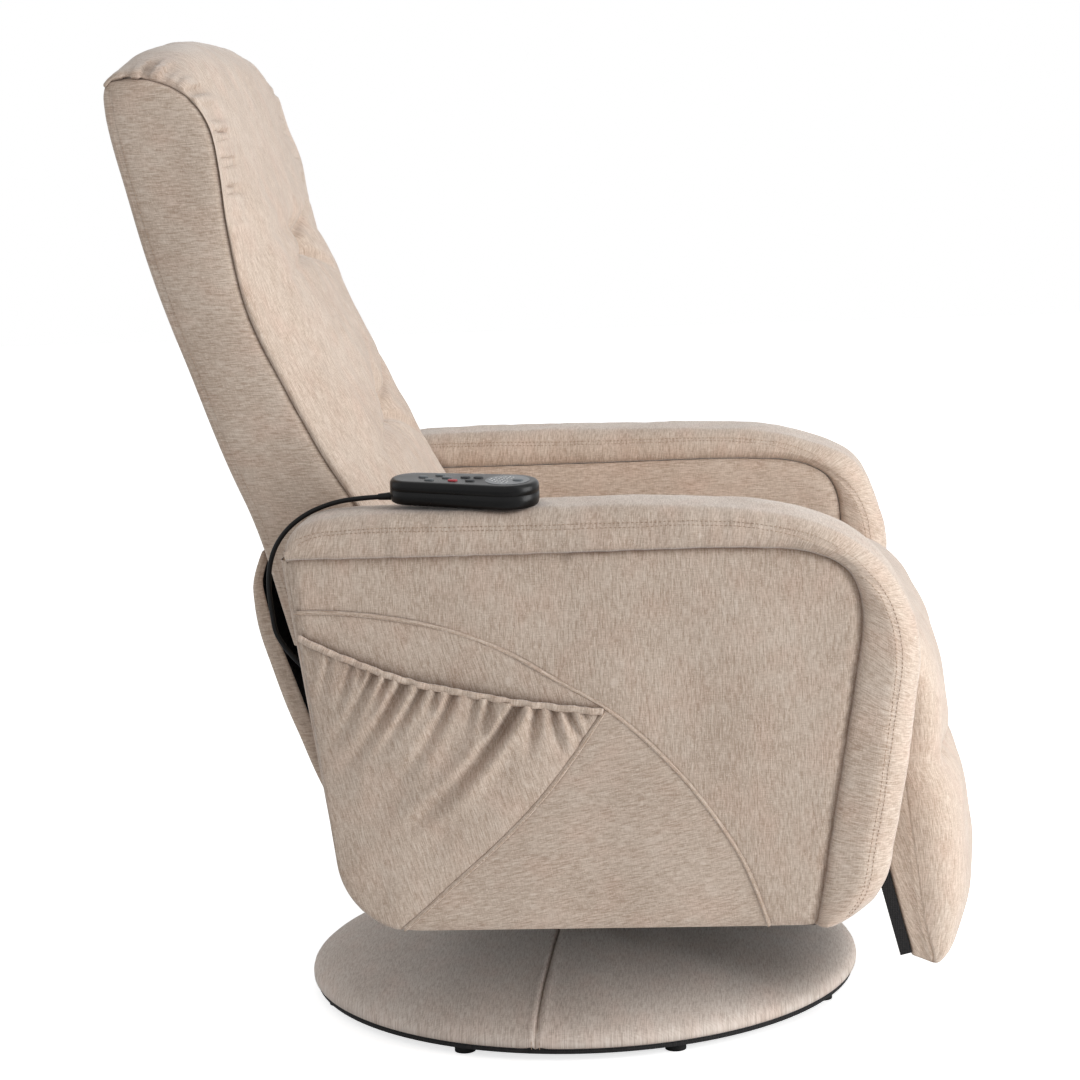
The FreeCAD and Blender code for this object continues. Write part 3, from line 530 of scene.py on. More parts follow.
def srgb(r: int, g: int, b: int) -> Colour:
    """A display colour, 0 to 255, as the linear colour that shaders use."""
    def linear(c: float) -> float:
        """One channel."""
        c /= 255
        return c / 12.92 if c <= 0.04045 else ((c + 0.055) / 1.055) ** 2.4
    return linear(r), linear(g), linear(b), 1.0


def chenille_group() -> Tree:
    """The shared weave: short thick-and-thin yarns, cross threads and slubs, with painted shade along
    sewn lines.

    Returns:
        The node group, with Vector, Light, Middle, Dark and Seam inputs.
    """
    name = "chenille weave"
    if name in bpy.data.node_groups:
        return bpy.data.node_groups[name]
    tree = bpy.data.node_groups.new(name, "ShaderNodeTree")
    tree.interface.new_socket("Vector", in_out="INPUT", socket_type="NodeSocketVector")
    for colour in ("Light", "Middle", "Dark"):
        tree.interface.new_socket(colour, in_out="INPUT", socket_type="NodeSocketColor")
    tree.interface.new_socket("Seam", in_out="INPUT", socket_type="NodeSocketFloat")
    tree.interface.new_socket("Color", in_out="OUTPUT", socket_type="NodeSocketColor")
    tree.interface.new_socket("Height", in_out="OUTPUT", socket_type="NodeSocketFloat")
    s = Sockets(tree)
    given, result = s.node("NodeGroupInput"), s.node("NodeGroupOutput")
    vector = given.outputs["Vector"]
    yarn = s.noise(vector, (900, 105, 900), 3.0, 0.3)
    thick = s.noise(vector, (380, 45, 380), 2.0, 0.2)
    weft = s.noise(vector, (150, 1000, 150), 1.0)
    slub = s.noise(vector, (620, 330, 620), 1.0)
    cloud = s.noise(vector, (14, 10, 14), 2.0)
    blush = s.noise(vector, (27, 19, 27), 2.0)

    tone = s.spread(yarn, 0.3, 0.7)
    for threads, share in ((thick, 0.5), (weft, 0.4), (cloud, 0.28)):
        part = s.spread(threads, 0.3, 0.7, -0.5, 0.5)
        tone = s.maths("ADD", tone, s.maths("MULTIPLY", part, share))
    colour = s.mix(s.spread(tone, 0.0, 0.62), given.outputs["Dark"], given.outputs["Middle"])
    colour = s.mix(s.spread(tone, 0.55, 1.35), colour, given.outputs["Light"])
    colour = s.mix(s.spread(slub, 0.62, 0.72, 0.0, 0.7), colour, given.outputs["Light"])
    colour = s.mix(s.spread(blush, 0.45, 0.75), colour, (1.0, 0.945, 0.93, 1.0), "MULTIPLY")
    # painted shade: the colour darkens within about 1.4 mm of a seam line, standing in for the shade
    # in the sewn groove
    sewn = s.spread(given.outputs["Seam"], 0.0003, 0.0014, 1.0, 0.0)
    s.join(s.mix(sewn, colour, (0.62, 0.57, 0.53, 1.0), "MULTIPLY"), result.inputs["Color"])

    height = s.maths("ADD", s.maths("MULTIPLY", yarn, 0.7), s.maths("MULTIPLY", weft, 0.3))
    height = s.maths("ADD", height, s.maths("MULTIPLY", thick, 0.4))
    height = s.maths("SUBTRACT", height, s.spread(given.outputs["Seam"], 0.0, 0.003, 2.2, 0.0))
    s.join(height, result.inputs["Height"])
    return tree


@dataclass(frozen=True)
class Chenille:
    """The oatmeal upholstery cloth."""

    grain: Grain = Grain.UP
    kind: str = "oatmeal"
    light: Colour = srgb(226, 212, 199)
    middle: Colour = srgb(205, 187, 171)
    dark: Colour = srgb(180, 159, 142)

    def material(self) -> Material:
        """Builds, or finds, the cloth with its yarns running this way."""
        name = f"{self.kind} chenille {self.grain.name.lower()}"
        if name in bpy.data.materials:
            return bpy.data.materials[name]
        material, s, shader = blank(name)
        place = s.node("ShaderNodeUVMap", uv_map="cloth")
        turn = s.node("ShaderNodeMapping")
        turn.inputs["Rotation"].default_value = (0, 0, math.radians(self.grain.value))
        s.join(place.outputs[0], turn.inputs["Vector"])
        seam = s.node("ShaderNodeAttribute", attribute_name="seam")
        weave = s.node("ShaderNodeGroup", node_tree=chenille_group())
        s.join(turn.outputs[0], weave.inputs["Vector"])
        s.join(seam.outputs["Fac"], weave.inputs["Seam"])
        for socket, colour in (("Light", self.light), ("Middle", self.middle), ("Dark", self.dark)):
            weave.inputs[socket].default_value = colour
        emboss(s, shader, weave.outputs["Height"], 0.6, 0.0006)
        # painted shade: ambient occlusion darkens the cloth's colour in creases, tufts, folds and
        # seams
        crease_shade_occlusion = s.node("ShaderNodeAmbientOcclusion", samples=5, Distance=0.022)
        sunk = s.spread(crease_shade_occlusion.outputs["AO"], 0.30, 0.86, 1.0, 0.0)
        colour = s.mix(sunk, weave.outputs["Color"], (0.50, 0.44, 0.41, 1.0), "MULTIPLY")
        s.join(colour, shader.inputs["Base Color"])
        shader.inputs["Roughness"].default_value = 0.93
        shader.inputs["Sheen Weight"].default_value = 0.5
        shader.inputs["Sheen Roughness"].default_value = 0.42
        shader.inputs["Specular IOR Level"].default_value = 0.2
        return material


def emboss(s: Sockets, shader: Node, height: Socket, strength: float, distance: float) -> None:
    """Raises a shader's surface by a height socket; distance is in metres."""
    bump = s.node("ShaderNodeBump", Strength=strength, Distance=distance)
    s.join(height, bump.inputs["Height"])
    s.join(bump.outputs[0], shader.inputs["Normal"])


def blank(name: str) -> tuple[Material, Sockets, Node]:
    """A new material with its node helper and its shader."""
    material = bpy.data.materials.new(name)
    material.use_nodes = True
    return material, Sockets(material.node_tree), material.node_tree.nodes["Principled BSDF"]


@dataclass(frozen=True)
class Moulding:
    """Plastic, rubber, paint or metal with fine texture, mottling and uneven gloss."""

    name: str
    colour: Colour
    rough: float = 0.45
    metallic: float = 0.0
    grain: float = 900.0
    bump: float = 0.00008
    coat: float = 0.0
    stretch: tuple[float, float, float] = (1.0, 1.0, 1.0)
    shine: float = 0.5

    def material(self) -> Material:
        """Builds, or finds, the finish."""
        if self.name in bpy.data.materials:
            return bpy.data.materials[self.name]
        material, s, shader = blank(self.name)
        place = s.node("ShaderNodeTexCoord").outputs["Object"]
        fine = s.noise(place, tuple(self.grain * k for k in self.stretch), 3.0)
        broad = s.noise(place, (28, 28, 28), 3.0)
        darker = tuple(c * 0.72 for c in self.colour[:3]) + (1.0,)
        lighter = tuple(min(1.0, c * 1.25 + 0.004) for c in self.colour[:3]) + (1.0,)
        tone = s.maths("ADD", s.maths("MULTIPLY", fine, 0.5), s.maths("MULTIPLY", broad, 0.5))
        s.join(s.mix(s.spread(tone, 0.35, 0.65), darker, lighter), shader.inputs["Base Color"])
        rough = s.spread(broad, 0.3, 0.7, self.rough * 0.82, min(1.0, self.rough * 1.2))
        s.join(rough, shader.inputs["Roughness"])
        emboss(s, shader, fine, 0.6, self.bump)
        shader.inputs["Metallic"].default_value = self.metallic
        shader.inputs["Coat Weight"].default_value = self.coat
        shader.inputs["Specular IOR Level"].default_value = self.shine
        return material


@dataclass(frozen=True)
class Woven:
    """Plain woven or non-woven cloth with crossing threads, on object coordinates."""

    name: str
    colour: Colour
    pitch: float = 1.4

    def material(self) -> Material:
        """Builds, or finds, the cloth."""
        if self.name in bpy.data.materials:
            return bpy.data.materials[self.name]
        material, s, shader = blank(self.name)
        place = s.node("ShaderNodeTexCoord").outputs["Object"]
        waves = []
        for direction in ("X", "Y", "Z"):
            wave = s.node("ShaderNodeTexWave", bands_direction=direction,
                          Scale=1.0 / (self.pitch * MM) / 6.3, Distortion=0.6, Detail=1.0)
            s.join(place, wave.inputs["Vector"])
            waves.append(wave.outputs["Fac"])
        threads = s.maths("ADD", s.maths("ADD", waves[0], waves[1]), waves[2])
        fuzz = s.noise(place, (300, 300, 300), 3.0)
        darker = tuple(c * 0.6 for c in self.colour[:3]) + (1.0,)
        lighter = tuple(c * 1.5 + 0.004 for c in self.colour[:3]) + (1.0,)
        tone = s.spread(s.maths("ADD", s.maths("MULTIPLY", threads, 0.2), fuzz), 0.4, 1.2)
        s.join(s.mix(tone, darker, lighter), shader.inputs["Base Color"])
        emboss(s, shader, threads, 0.5, 0.0003)
        shader.inputs["Roughness"].default_value = 0.9
        return material


@dataclass(frozen=True)
class Plywood:
    """Bare plywood: long grain with darker growth lines."""

    name: str = "plywood"

    def material(self) -> Material:
        """Builds, or finds, the wood."""
        if self.name in bpy.data.materials:
            return bpy.data.materials[self.name]
        material, s, shader = blank(self.name)
        place = s.node("ShaderNodeTexCoord").outputs["Object"]
        wave = s.node("ShaderNodeTexWave", bands_direction="Z", Scale=14.0, Distortion=5.0, Detail=3.0)
        s.join(s.stretched(place, (0.4, 0.4, 1.0)), wave.inputs["Vector"])
        pores = s.noise(place, (90, 90, 900), 3.0)
        lines = s.maths("MULTIPLY", wave.outputs["Fac"], 0.6)
        tone = s.maths("ADD", lines, s.maths("MULTIPLY", pores, 0.5))
        colour = s.mix(s.spread(tone, 0.2, 1.0), srgb(178, 138, 92), srgb(222, 190, 146))
        s.join(colour, shader.inputs["Base Color"])
        emboss(s, shader, pores, 0.4, 0.0002)
        shader.inputs["Roughness"].default_value = 0.7
        return material


@dataclass(frozen=True)
class Finishes:
    """Every finish on the chair."""

    steel_black: Moulding = Moulding(
        "black powder coat", srgb(18, 18, 19), 0.5, 0.0, 700, 0.0001, shine=0.3)
    steel_zinc: Moulding = Moulding(
        "zinc plate", srgb(176, 177, 172), 0.32, 1.0, 500, 0.00004, 0.0, (1, 4, 1))
    plastic: Moulding = Moulding("black moulding", srgb(22, 22, 24), 0.55, 0.0, 1500, 0.00012)
    glide: Moulding = Moulding("black polythene", srgb(14, 14, 15), 0.6, 0.0, 900, 0.0001, shine=0.25)
    nylon: Moulding = Moulding("white nylon", srgb(226, 224, 216), 0.45, 0.0, 700, 0.00005)
    handset: Moulding = Moulding(
        "satin black shell", srgb(9, 9, 10), 0.3, 0.0, 2200, 0.00003, shine=0.2)
    display: Moulding = Moulding("gloss black disc", srgb(58, 64, 70), 0.3, 0.0, 1200, 0.00001, 0.1)
    key_grey: Moulding = Moulding("grey key", srgb(98, 104, 108), 0.5, 0.0, 1800, 0.00006)
    key_dark: Moulding = Moulding("dark key", srgb(34, 35, 38), 0.5, 0.0, 1800, 0.00006)
    key_red: Moulding = Moulding("red key", srgb(176, 26, 44), 0.45, 0.0, 1800, 0.00006)
    dot: Moulding = Moulding("white dot", srgb(236, 240, 240), 0.5, 0.0, 1800, 0.00001)
    circuit: Moulding = Moulding("green circuit board", srgb(24, 92, 52), 0.4, 0.0, 900, 0.00008)
    sheath: Moulding = Moulding(
        "black cord sheath", srgb(12, 12, 13), 0.42, 0.0, 1100, 0.00008, shine=0.2)
    thread: Moulding = Moulding("oatmeal thread", srgb(186, 160, 138), 0.8, 0.0, 2600, 0.0001)
    # painted light: the base's cloth is the main oatmeal chenille in lighter colours, which stand in
    # for more light on the base than the lamps give
    base_cloth: Chenille = Chenille(Grain.UP, "oatmeal painted lighter", srgb(243, 234, 226), srgb(226, 213, 202),
                                    srgb(200, 184, 172))
    lining: Woven = Woven("black lining", srgb(28, 27, 28), 1.2)
    webbing: Woven = Woven("elastic webbing", srgb(56, 56, 60), 2.4)
    felt: Woven = Woven("heater felt", srgb(120, 120, 126), 1.8)
    wood: Plywood = Plywood()

    def cloth(self, grain: Grain) -> Material:
        """The upholstery with its yarns running one way."""
        return Chenille(grain).material()


FINISH = Finishes()


# ---------------------------------------------------------------- stitches and strips

def end_tree(s: Sockets, geometry: Socket, result: Node, finish: Material) -> None:
    """Ends a geometry tree with real meshes in one finish."""
    real, paint = s.node("GeometryNodeRealizeInstances"), s.node("GeometryNodeSetMaterial")
    paint.inputs["Material"].default_value = finish
    s.join(geometry, real.inputs[0])
    s.join(real.outputs[0], paint.inputs[0])
    s.join(paint.outputs[0], result.inputs[0])


def grown(name: str, data: bpy.types.ID, tree: Tree, values: dict[str, object]) -> Object:
    """Runs a geometry tree on a bare curve or mesh and keeps the result.

    Args:
        name: The piece's name.
        data: The curve or mesh that the tree works on.
        tree: The tree.
        values: The tree's inputs, by name.

    Returns:
        A plain mesh object.
    """
    holder = linked(data.name, data)
    modifier = holder.modifiers.new("tree", "NODES")
    modifier.node_group = tree
    for item in tree.interface.items_tree:
        if item.in_out == "INPUT" and item.name in values:
            modifier[item.identifier] = values[item.name]
    mesh = evaluated_mesh(holder)
    mesh.name = name
    bpy.data.objects.remove(holder)
    return linked(name, mesh)


@dataclass
class StitchRows:
    """Rows of sewn stitches on one body, laid along lines by a node tree."""

    name: str
    body: str
    pitch: float = 4.6
    length: float = 3.3
    width: float = 0.75
    lines: list[Array] = field(default_factory=list)

    def tree(self, finish: Material) -> Tree:
        """The tree that sets one stitch at every pitch along a curve."""
        tree = bpy.data.node_groups.new(f"{self.name} tree", "GeometryNodeTree")
        tree.interface.new_socket("Geometry", in_out="INPUT", socket_type="NodeSocketGeometry")
        for label in ("Pitch", "Length", "Width"):
            tree.interface.new_socket(label, in_out="INPUT", socket_type="NodeSocketFloat")
        tree.interface.new_socket("Geometry", in_out="OUTPUT", socket_type="NodeSocketGeometry")
        s = Sockets(tree)
        given, result = s.node("NodeGroupInput"), s.node("NodeGroupOutput")
        spaced = s.node("GeometryNodeResampleCurve", mode="LENGTH")
        s.join(given.outputs["Geometry"], spaced.inputs["Curve"])
        s.join(given.outputs["Pitch"], spaced.inputs["Length"])
        ball = s.node("GeometryNodeMeshUVSphere", Segments=6, Rings=4, Radius=0.5)
        size = s.node("ShaderNodeCombineXYZ")
        for axis, label in (("X", "Length"), ("Y", "Width"), ("Z", "Width")):
            s.join(given.outputs[label], size.inputs[axis])
        place = s.node("GeometryNodeInstanceOnPoints")
        turn = s.node("FunctionNodeAlignRotationToVector", axis="X")
        tangent = s.node("GeometryNodeInputTangent")
        s.join(tangent.outputs[0], turn.inputs["Vector"])
        s.join(spaced.outputs[0], place.inputs["Points"])
        s.join(ball.outputs["Mesh"], place.inputs["Instance"])
        s.join(turn.outputs[0], place.inputs["Rotation"])
        s.join(size.outputs[0], place.inputs["Scale"])
        end_tree(s, place.outputs[0], result, finish)
        return tree

    def build(self, slot: str = "oatmeal_fabric") -> Object | None:
        """Makes all the rows one mesh on their body.

        Returns:
            The mesh of stitches, or None if there are no lines.
        """
        if not self.lines:
            return None
        curve = bpy.data.curves.new(f"{self.name} line", "CURVE")
        curve.dimensions = "3D"
        for line in self.lines:
            spline = curve.splines.new("POLY")
            spline.points.add(len(line) - 1)
            flat = np.column_stack([np.asarray(line) * MM, np.ones(len(line))])
            spline.points.foreach_set("co", flat.astype(np.float32).ravel())
        finish = FINISH.thread.material()
        sizes = {"Pitch": self.pitch * MM, "Length": self.length * MM, "Width": self.width * MM}
        obj = grown(self.name, curve, self.tree(finish), sizes)
        smooth_shaded(obj.data)
        return ride(obj, self.body, slot, finish)


def welt(name: str, line: Array, out: Array, width: float, height: float) -> Object:
    """A raised strip of folded cloth along a line on a surface.

    Args:
        name: The piece's name.
        line: Its centre line on the surface.
        out: The surface's outward direction.
        width: Full width of the strip.
        height: How far it stands proud.

    Returns:
        The strip, a closed mesh.
    """
    along = np.gradient(line, axis=0)
    along /= np.linalg.norm(along, axis=1, keepdims=True)
    side = np.cross(along, out)
    angle = np.linspace(0, math.pi, 9)
    profile = [(-math.cos(a) * width / 2, math.sin(a) ** 0.7 * height) for a in angle]
    profile += [(width * 0.3, -0.8), (-width * 0.3, -0.8)]
    points = np.stack([line + side * across + out * up for across, up in profile], axis=1)
    return skin(name, points, wrap=True, caps=True)


def beside(line: Array, out: Array, offset: float) -> Array:
    """A line on the same surface, moved sideways."""
    along = np.gradient(line, axis=0)
    along /= np.linalg.norm(along, axis=1, keepdims=True)
    return line + np.cross(along, out) * offset


# ---------------------------------------------------------------- base

@dataclass
class BaseDisc:
    """The padded round base, with two double-sewn radial seams."""

    rim: float = 305.0
    seam_angle: float = -92.0
    seam_shift: float = -22.0
    profile: tuple[tuple[float, float], ...] = (
        (41, 60), (41, 63), (60, 62.6), (100, 61), (160, 56.5), (220, 50), (262, 43), (284, 37),
        (296, 31.5), (303, 26), (305.3, 21.5), (305.7, 17.5), (305.2, 14.6), (303.8, 13.2),
        (302.6, 13.6))

    def build(self) -> None:
        """Makes the cloth cover and its stitching."""
        line = smooth_line(self.profile, 70)
        near = np.radians([0.3, 0.6, 0.9, 1.3, 1.8, 2.4, 3.2])
        close = np.concatenate([-near[::-1], [0.0], near])
        seam_at = math.radians(self.seam_angle % 180)
        turns = np.concatenate([np.linspace(0, math.tau, 144, endpoint=False), seam_at + close,
                                seam_at + math.pi + close])
        turns = np.unique(np.round(turns % math.tau, 4))
        points = np.empty((len(line), len(turns), 3))
        for k, angle in enumerate(turns):
            sag = 0.5 * ripple(np.full(len(line), angle * self.rim), line[:, 0], 120, 3)
            turned = angle + self.seam_shift / line[:, 0]
            points[:, k, 0] = line[:, 0] * np.cos(turned)
            points[:, k, 1] = line[:, 0] * np.sin(turned)
            points[:, k, 2] = line[:, 1] + sag * np.clip((line[:, 1] - 20) / 12, 0, 1)
        flat = np.concatenate([points, points[:, :1]], axis=1)[:, :, :2]
        cover = skin("base_cloth", points, wrap=True, uv=flat)
        if sum(p.normal.z * p.area for p in cover.data.polygons) < 0:
            cover.data.flip_normals()
        seams, rows = [], StitchRows("base_stitches", "base", 5.0, 3.6, 0.8)
        tree = surface(cover)
        for angle in (self.seam_angle, self.seam_angle + 180):
            def at(r: float, z: float) -> tuple[float, float, float]:
                """A point of the seam's line."""
                turned = math.radians(angle) + self.seam_shift / r
                return r * math.cos(turned), r * math.sin(turned), z
            across = np.array([-math.sin(math.radians(angle)), math.cos(math.radians(angle)), 0])
            seam = on_surface(tree, np.array([at(r, 55) for r in np.linspace(44, 303, 90)]))
            rim = on_surface(tree, np.array([at(305.5, z) for z in np.linspace(27, 15, 8)]))
            seam = np.vstack([seam, rim])
            seams.append(seam)
            for offset in (-4.2, 4.2):
                rows.lines.append(on_surface(tree, evenly(seam + across * offset, 120), 0.1))
        mark_seams(cover, seams)
        co, distance = coordinates(cover), np.full(len(cover.data.vertices), 1e9)
        for seam in seams:
            distance = np.minimum(distance, distance_to_line(co, seam))
        co[:, 2] += 1.1 * np.exp(-((distance - 6) / 4) ** 2) - 1.6 * np.exp(-(distance / 2.2) ** 2)
        set_coordinates(cover, co)
        ride(cover, "base", "oatmeal_fabric", FINISH.base_cloth.material(), "base_cover")
        rows.build()


# ---------------------------------------------------------------- arms

ARM_FACE = 388.0                         # an arm's outer face, out from the chair's middle
ARM_BOTTOM = 166
ARM_SEAM = 541                           # level of the seam between a band and its arm's side
BAND_STATIONS = (            # seam x, z and outer face x, z of the padded band, from back to front
    (-250.0, 541.0, -250.6, 545.0), (-249.6, 541.0, -249.0, 557.0), (-246.5, 541.0, -241.5, 568.5),
    (-238.0, 541.0, -226.0, 574.5), (-208.0, 541.0, -202.0, 577.5), (-100.0, 541.0, -98.0, 580.5),
    (0.0, 541.5, 2.0, 582.3), (100.0, 542.5, 102.0, 582.3), (155.0, 543.0, 158.0, 579.5),
    (205.0, 542.0, 212.0, 574.5), (245.0, 539.0, 257.0, 564.0), (273.0, 531.0, 294.0, 546.0),
    (291.5, 519.0, 322.0, 521.0), (301.0, 502.5, 345.0, 490.0), (305.0, 484.5, 357.5, 459.0),
    (306.0, 466.0, 360.5, 430.0), (300.5, 427.0, 356.5, 392.0), (288.0, 352.0, 348.5, 335.0),
    (272.0, 260.0, 333.0, 246.0), (262.5, 203.0, 322.5, 205.0), (258.5, 182.0, 309.0, 184.0),
    (256.5, 172.0, 290.0, 171.5), (255.0, 166.0, 270.0, 164.5))


BAND_SEAM = (                # x, z of the sewn line on each side of the band
    (-236, 557), (-221, 564), (-200, 567), (-136, 568), (-60, 567), (18, 566), (90, 566.5),
    (153, 566.5), (205, 562), (248, 552), (280, 537), (303, 519), (322, 495), (334, 466),
    (337.5, 437), (334, 395), (324, 330), (309, 241), (298, 195), (286, 176))
ARM_BACK_EDGE = [(-235, 410), (-250, 540)]


def lower_corner(steps: int) -> list[tuple[float, float]]:
    """The rounded lower back corner of an arm's side, as (x, z)."""
    return rounded_corner((120, ARM_BOTTOM), (-205, ARM_BOTTOM), (-251, ARM_SEAM), 80, steps)


@dataclass
class Arm:
    """One arm: padded band, outer face, inner face and the strip that closes its back and bottom."""

    side: int
    name: str
    middle: float = 330.0
    half: float = 60.0
    face: float = ARM_FACE
    inner: float = 270.0
    sewn_line: float = 56.0
    foot_seam: float = 54.0
    row_gap: float = 2.6
    rows: StitchRows = field(init=False)

    def __post_init__(self) -> None:
        """Starts the arm's stitching."""
        self.rows = StitchRows(f"{self.name}_arm_stitches", "chair_body", 4.4, 3.0, 0.55)

    def band_section(self, height: float) -> tuple[Array, Array]:
        """Half the band's section, from its seam to the crown's middle.

        Args:
            height: Seam to crown.

        Returns:
            Distances out from the arm's middle plane, and up from the seam.
        """
        corner = min(34.0, height * 0.72)
        up = np.concatenate([[-4.0, -1.5, 0.5, 2.5, 5.5],
                             np.linspace(9.0, max(10.0, height - corner), 4)])
        out = np.full(len(up), self.half)
        angle = np.linspace(0, math.pi / 2, 10)[1:]
        out = np.concatenate([out, self.half - corner * (1 - np.cos(angle))])
        up = np.concatenate([up, height - corner + corner * np.sin(angle)])
        flat = np.linspace(self.half - corner, 0, 7)[1:]
        out = np.concatenate([out, flat])
        up = np.concatenate([up, np.full(len(flat), height)])
        up = up + 1.6 * np.clip(up / height, 0, 1) ** 3 * (1 - (out / self.half) ** 2)
        swell = 2.6 * np.sin(math.pi * np.clip(up / height, 0, 1)) ** 0.6 * (out / self.half) ** 4
        tuck = 6.0 * np.exp(-np.maximum(up, 0) / 2.0) + 2.5 * (up < 0)
        return out + swell - tuck, up

    def build_band(self) -> Object:
        """The padded band over the arm's top and down its front."""
        stations = smooth_line(BAND_STATIONS, 190)
        seam, crown = stations[:, :2], stations[:, 2:]
        fuller = np.exp(-(((crown - (320, 524)) / 42) ** 2).sum(axis=1))
        crown = crown + fuller[:, None] * np.array([6.4, 8.2]) * (1.0 if self.side > 0 else 0.3)
        if self.side > 0:
            crown[:, 1] -= 4.0 * np.exp(-((crown[:, 0] - 80) / 120) ** 2)
        along = run_length(crown)
        loops, cloth = [], []
        for k, (low, high) in enumerate(zip(seam, crown)):
            height = float(np.linalg.norm(high - low))
            direction = (high - low) / max(height, 1e-6)
            out, up = self.band_section(height)
            out, up = np.concatenate([-out, out[::-1][1:]]), np.concatenate([up, up[::-1][1:]])
            depth = run_length(np.column_stack([out, up]))
            depth = depth - depth[len(depth) // 2]
            edge = np.exp(-np.clip(up, 0, None) / 9)
            crease = 0.7 * ripple(np.full(len(out), along[k]), up * 0.15, 17, 5 + self.side) * edge
            soft = 0.7 * ripple(np.full(len(out), along[k]), depth, 70, 8 + self.side)
            fine = 0.35 * ripple(np.full(len(out), along[k]), depth * 0.25, 13, 12 + self.side)
            raised = crease + (soft + fine) * np.clip(up / 8, 0, 1)
            scale = 1 + raised / np.maximum(np.hypot(out, up), 20)
            loops.append(np.column_stack([low[0] + direction[0] * up * scale,
                                          self.side * self.middle + out * scale,
                                          low[1] + direction[1] * up * scale]))
            round_section = np.append(depth, depth[-1] + 110)
            cloth.append(np.column_stack([np.full(len(round_section), along[k]), round_section]))
        band = skin(f"{self.name}_arm_band", np.array(loops), wrap=True, caps=True,
                    uv=np.array(cloth))
        subdivided(band, 1)
        outward(band)
        tree = surface(band)
        lines = []
        for edge in (-1, 1):
            line = smooth_line(BAND_SEAM, 260)
            y = self.side * self.middle + edge * self.sewn_line
            level = with_y(line, y)
            lines.append(on_surface(tree, level))
            for offset in (-self.row_gap, self.row_gap):
                shifted = level.copy()
                tangent = np.gradient(line, axis=0)
                tangent /= np.linalg.norm(tangent, axis=1, keepdims=True)
                shifted[:, 0] += -tangent[:, 1] * offset
                shifted[:, 2] += tangent[:, 0] * offset
                self.rows.lines.append(on_surface(tree, shifted, 0.05))
        co, n = coordinates(band), normals(band)
        distance = np.minimum(*(distance_to_line(co, line) for line in lines))
        co -= n * (0.7 * np.exp(-(distance / 2.4) ** 2))[:, None]
        set_coordinates(band, co)
        foot = smooth_line([s[:2] for s in BAND_STATIONS], 300)
        sides = (self.side * (self.middle + edge * self.foot_seam) for edge in (-1, 1))
        mark_seams(band, [with_y(foot, y) for y in sides])
        return ride(band, "chair_body", "oatmeal_fabric", FINISH.cloth(Grain.UP),
                    f"{self.name}_arm_pad")

    def outline(self) -> Array:
        """The arm's side below the band, as (x, z), from its upper back corner round the front."""
        seam = smooth_line([(s[0], s[1]) for s in BAND_STATIONS if s[0] > -250 or s[3] < 550], 120)
        return np.vstack([seam, [(254, ARM_BOTTOM)], lower_corner(16), [(-249, 532)]])

    def wrapped_edge(self) -> Array:
        """The part of the outline that the cloth turns round: bottom, corner and back."""
        bottom = [(x, ARM_BOTTOM) for x in (254, 120, 0)]
        return evenly(np.array(bottom + lower_corner(16) + ARM_BACK_EDGE), 120)

    def depth(self, y: float, roll: float, flat: Array, seed: int) -> Array:
        """Y of a padded side face whose edges turn in."""
        turned = distance_to_line(flat, self.wrapped_edge())
        seam = distance_to_line(flat, smooth_line([s[:2] for s in BAND_STATIONS], 120))
        curl = np.clip(1 - turned / roll, 0, 1)
        drop = roll * (1 - np.sqrt(np.clip(1 - curl**2, 0, 1)))
        drop += 5.0 * np.exp(-seam / 1.8) + 1.0 * np.exp(-seam / 14)
        puff = 1.1 * ripple(flat[:, 0], flat[:, 1], 150, seed)
        puff *= (1 - np.exp(-turned / 30)) * (1 - np.exp(-seam / 30))
        pucker = 0.5 * ripple(flat[:, 0], flat[:, 1] * 0.3, 16, seed + 1) * np.exp(-seam / 12)
        sign = 1 if y > 0 else -1
        return y - sign * (drop - puff - pucker)

    def build_faces(self) -> None:
        """The outer and inner faces, and the strip between them."""
        outer, inner = self.side * self.face, self.side * (self.inner + 0.2)
        face = filled_panel(f"{self.name}_arm_outer_face", self.outline(), 7.0,
                            lambda flat: self.depth(outer, 7.0, flat, 21 + self.side), self.side)
        foot = smooth_line([s[:2] for s in BAND_STATIONS], 300)
        mark_seams(face, [with_y(foot, outer - self.side * 3.0)])
        ride(face, "chair_body", "oatmeal_fabric", FINISH.cloth(Grain.UP), f"{self.name}_side_panel")

        def inner_depth(flat: Array) -> Array:
            """Y of the inner face, which curls the other way."""
            away = self.depth(outer, 4.0, flat, 31 + self.side) - outer
            return inner + self.side * 0.8 * np.minimum(np.abs(away), 4)
        lining = filled_panel(
            f"{self.name}_arm_inner_face", self.outline(), 9.0, inner_depth, -self.side)
        ride(lining, "chair_body", "oatmeal_fabric", FINISH.cloth(Grain.ACROSS), "inner_panels")

        edge = self.wrapped_edge()
        place = np.sin(np.linspace(-math.pi / 2, math.pi / 2, 26))
        across = (self.inner + self.face - 2.7) / 2 + place * (self.face - self.inner - 11.7) / 2
        rise = (edge[:, 1] - ARM_BOTTOM) / (ARM_SEAM - ARM_BOTTOM)
        padding = (1.2 + 5.0 * rise) * np.clip(rise * 6, 0, 1)
        points = np.empty((len(edge), len(across), 3))
        for k, (y, t) in enumerate(zip(across, place)):
            round_off = math.sqrt(max(0.0, 1 - max(0.0, (abs(t) - 0.84) / 0.16) ** 2))
            x = edge[:, 0] - padding * round_off
            points[:, k] = np.column_stack([x, np.full(len(edge), self.side * y), edge[:, 1]])
        strip = skin(f"{self.name}_arm_back_strip", points)
        centre = np.array([20.0, self.side * self.middle, 360.0])
        first = strip.data.polygons[len(strip.data.polygons) // 2]
        if (Vector(first.center) - Vector(centre * MM)).dot(first.normal) < 0:
            strip.data.flip_normals()
        ride(strip, "chair_body", "oatmeal_fabric", FINISH.cloth(Grain.ACROSS))

    def build(self) -> None:
        """The whole arm."""
        self.build_band()
        self.build_faces()


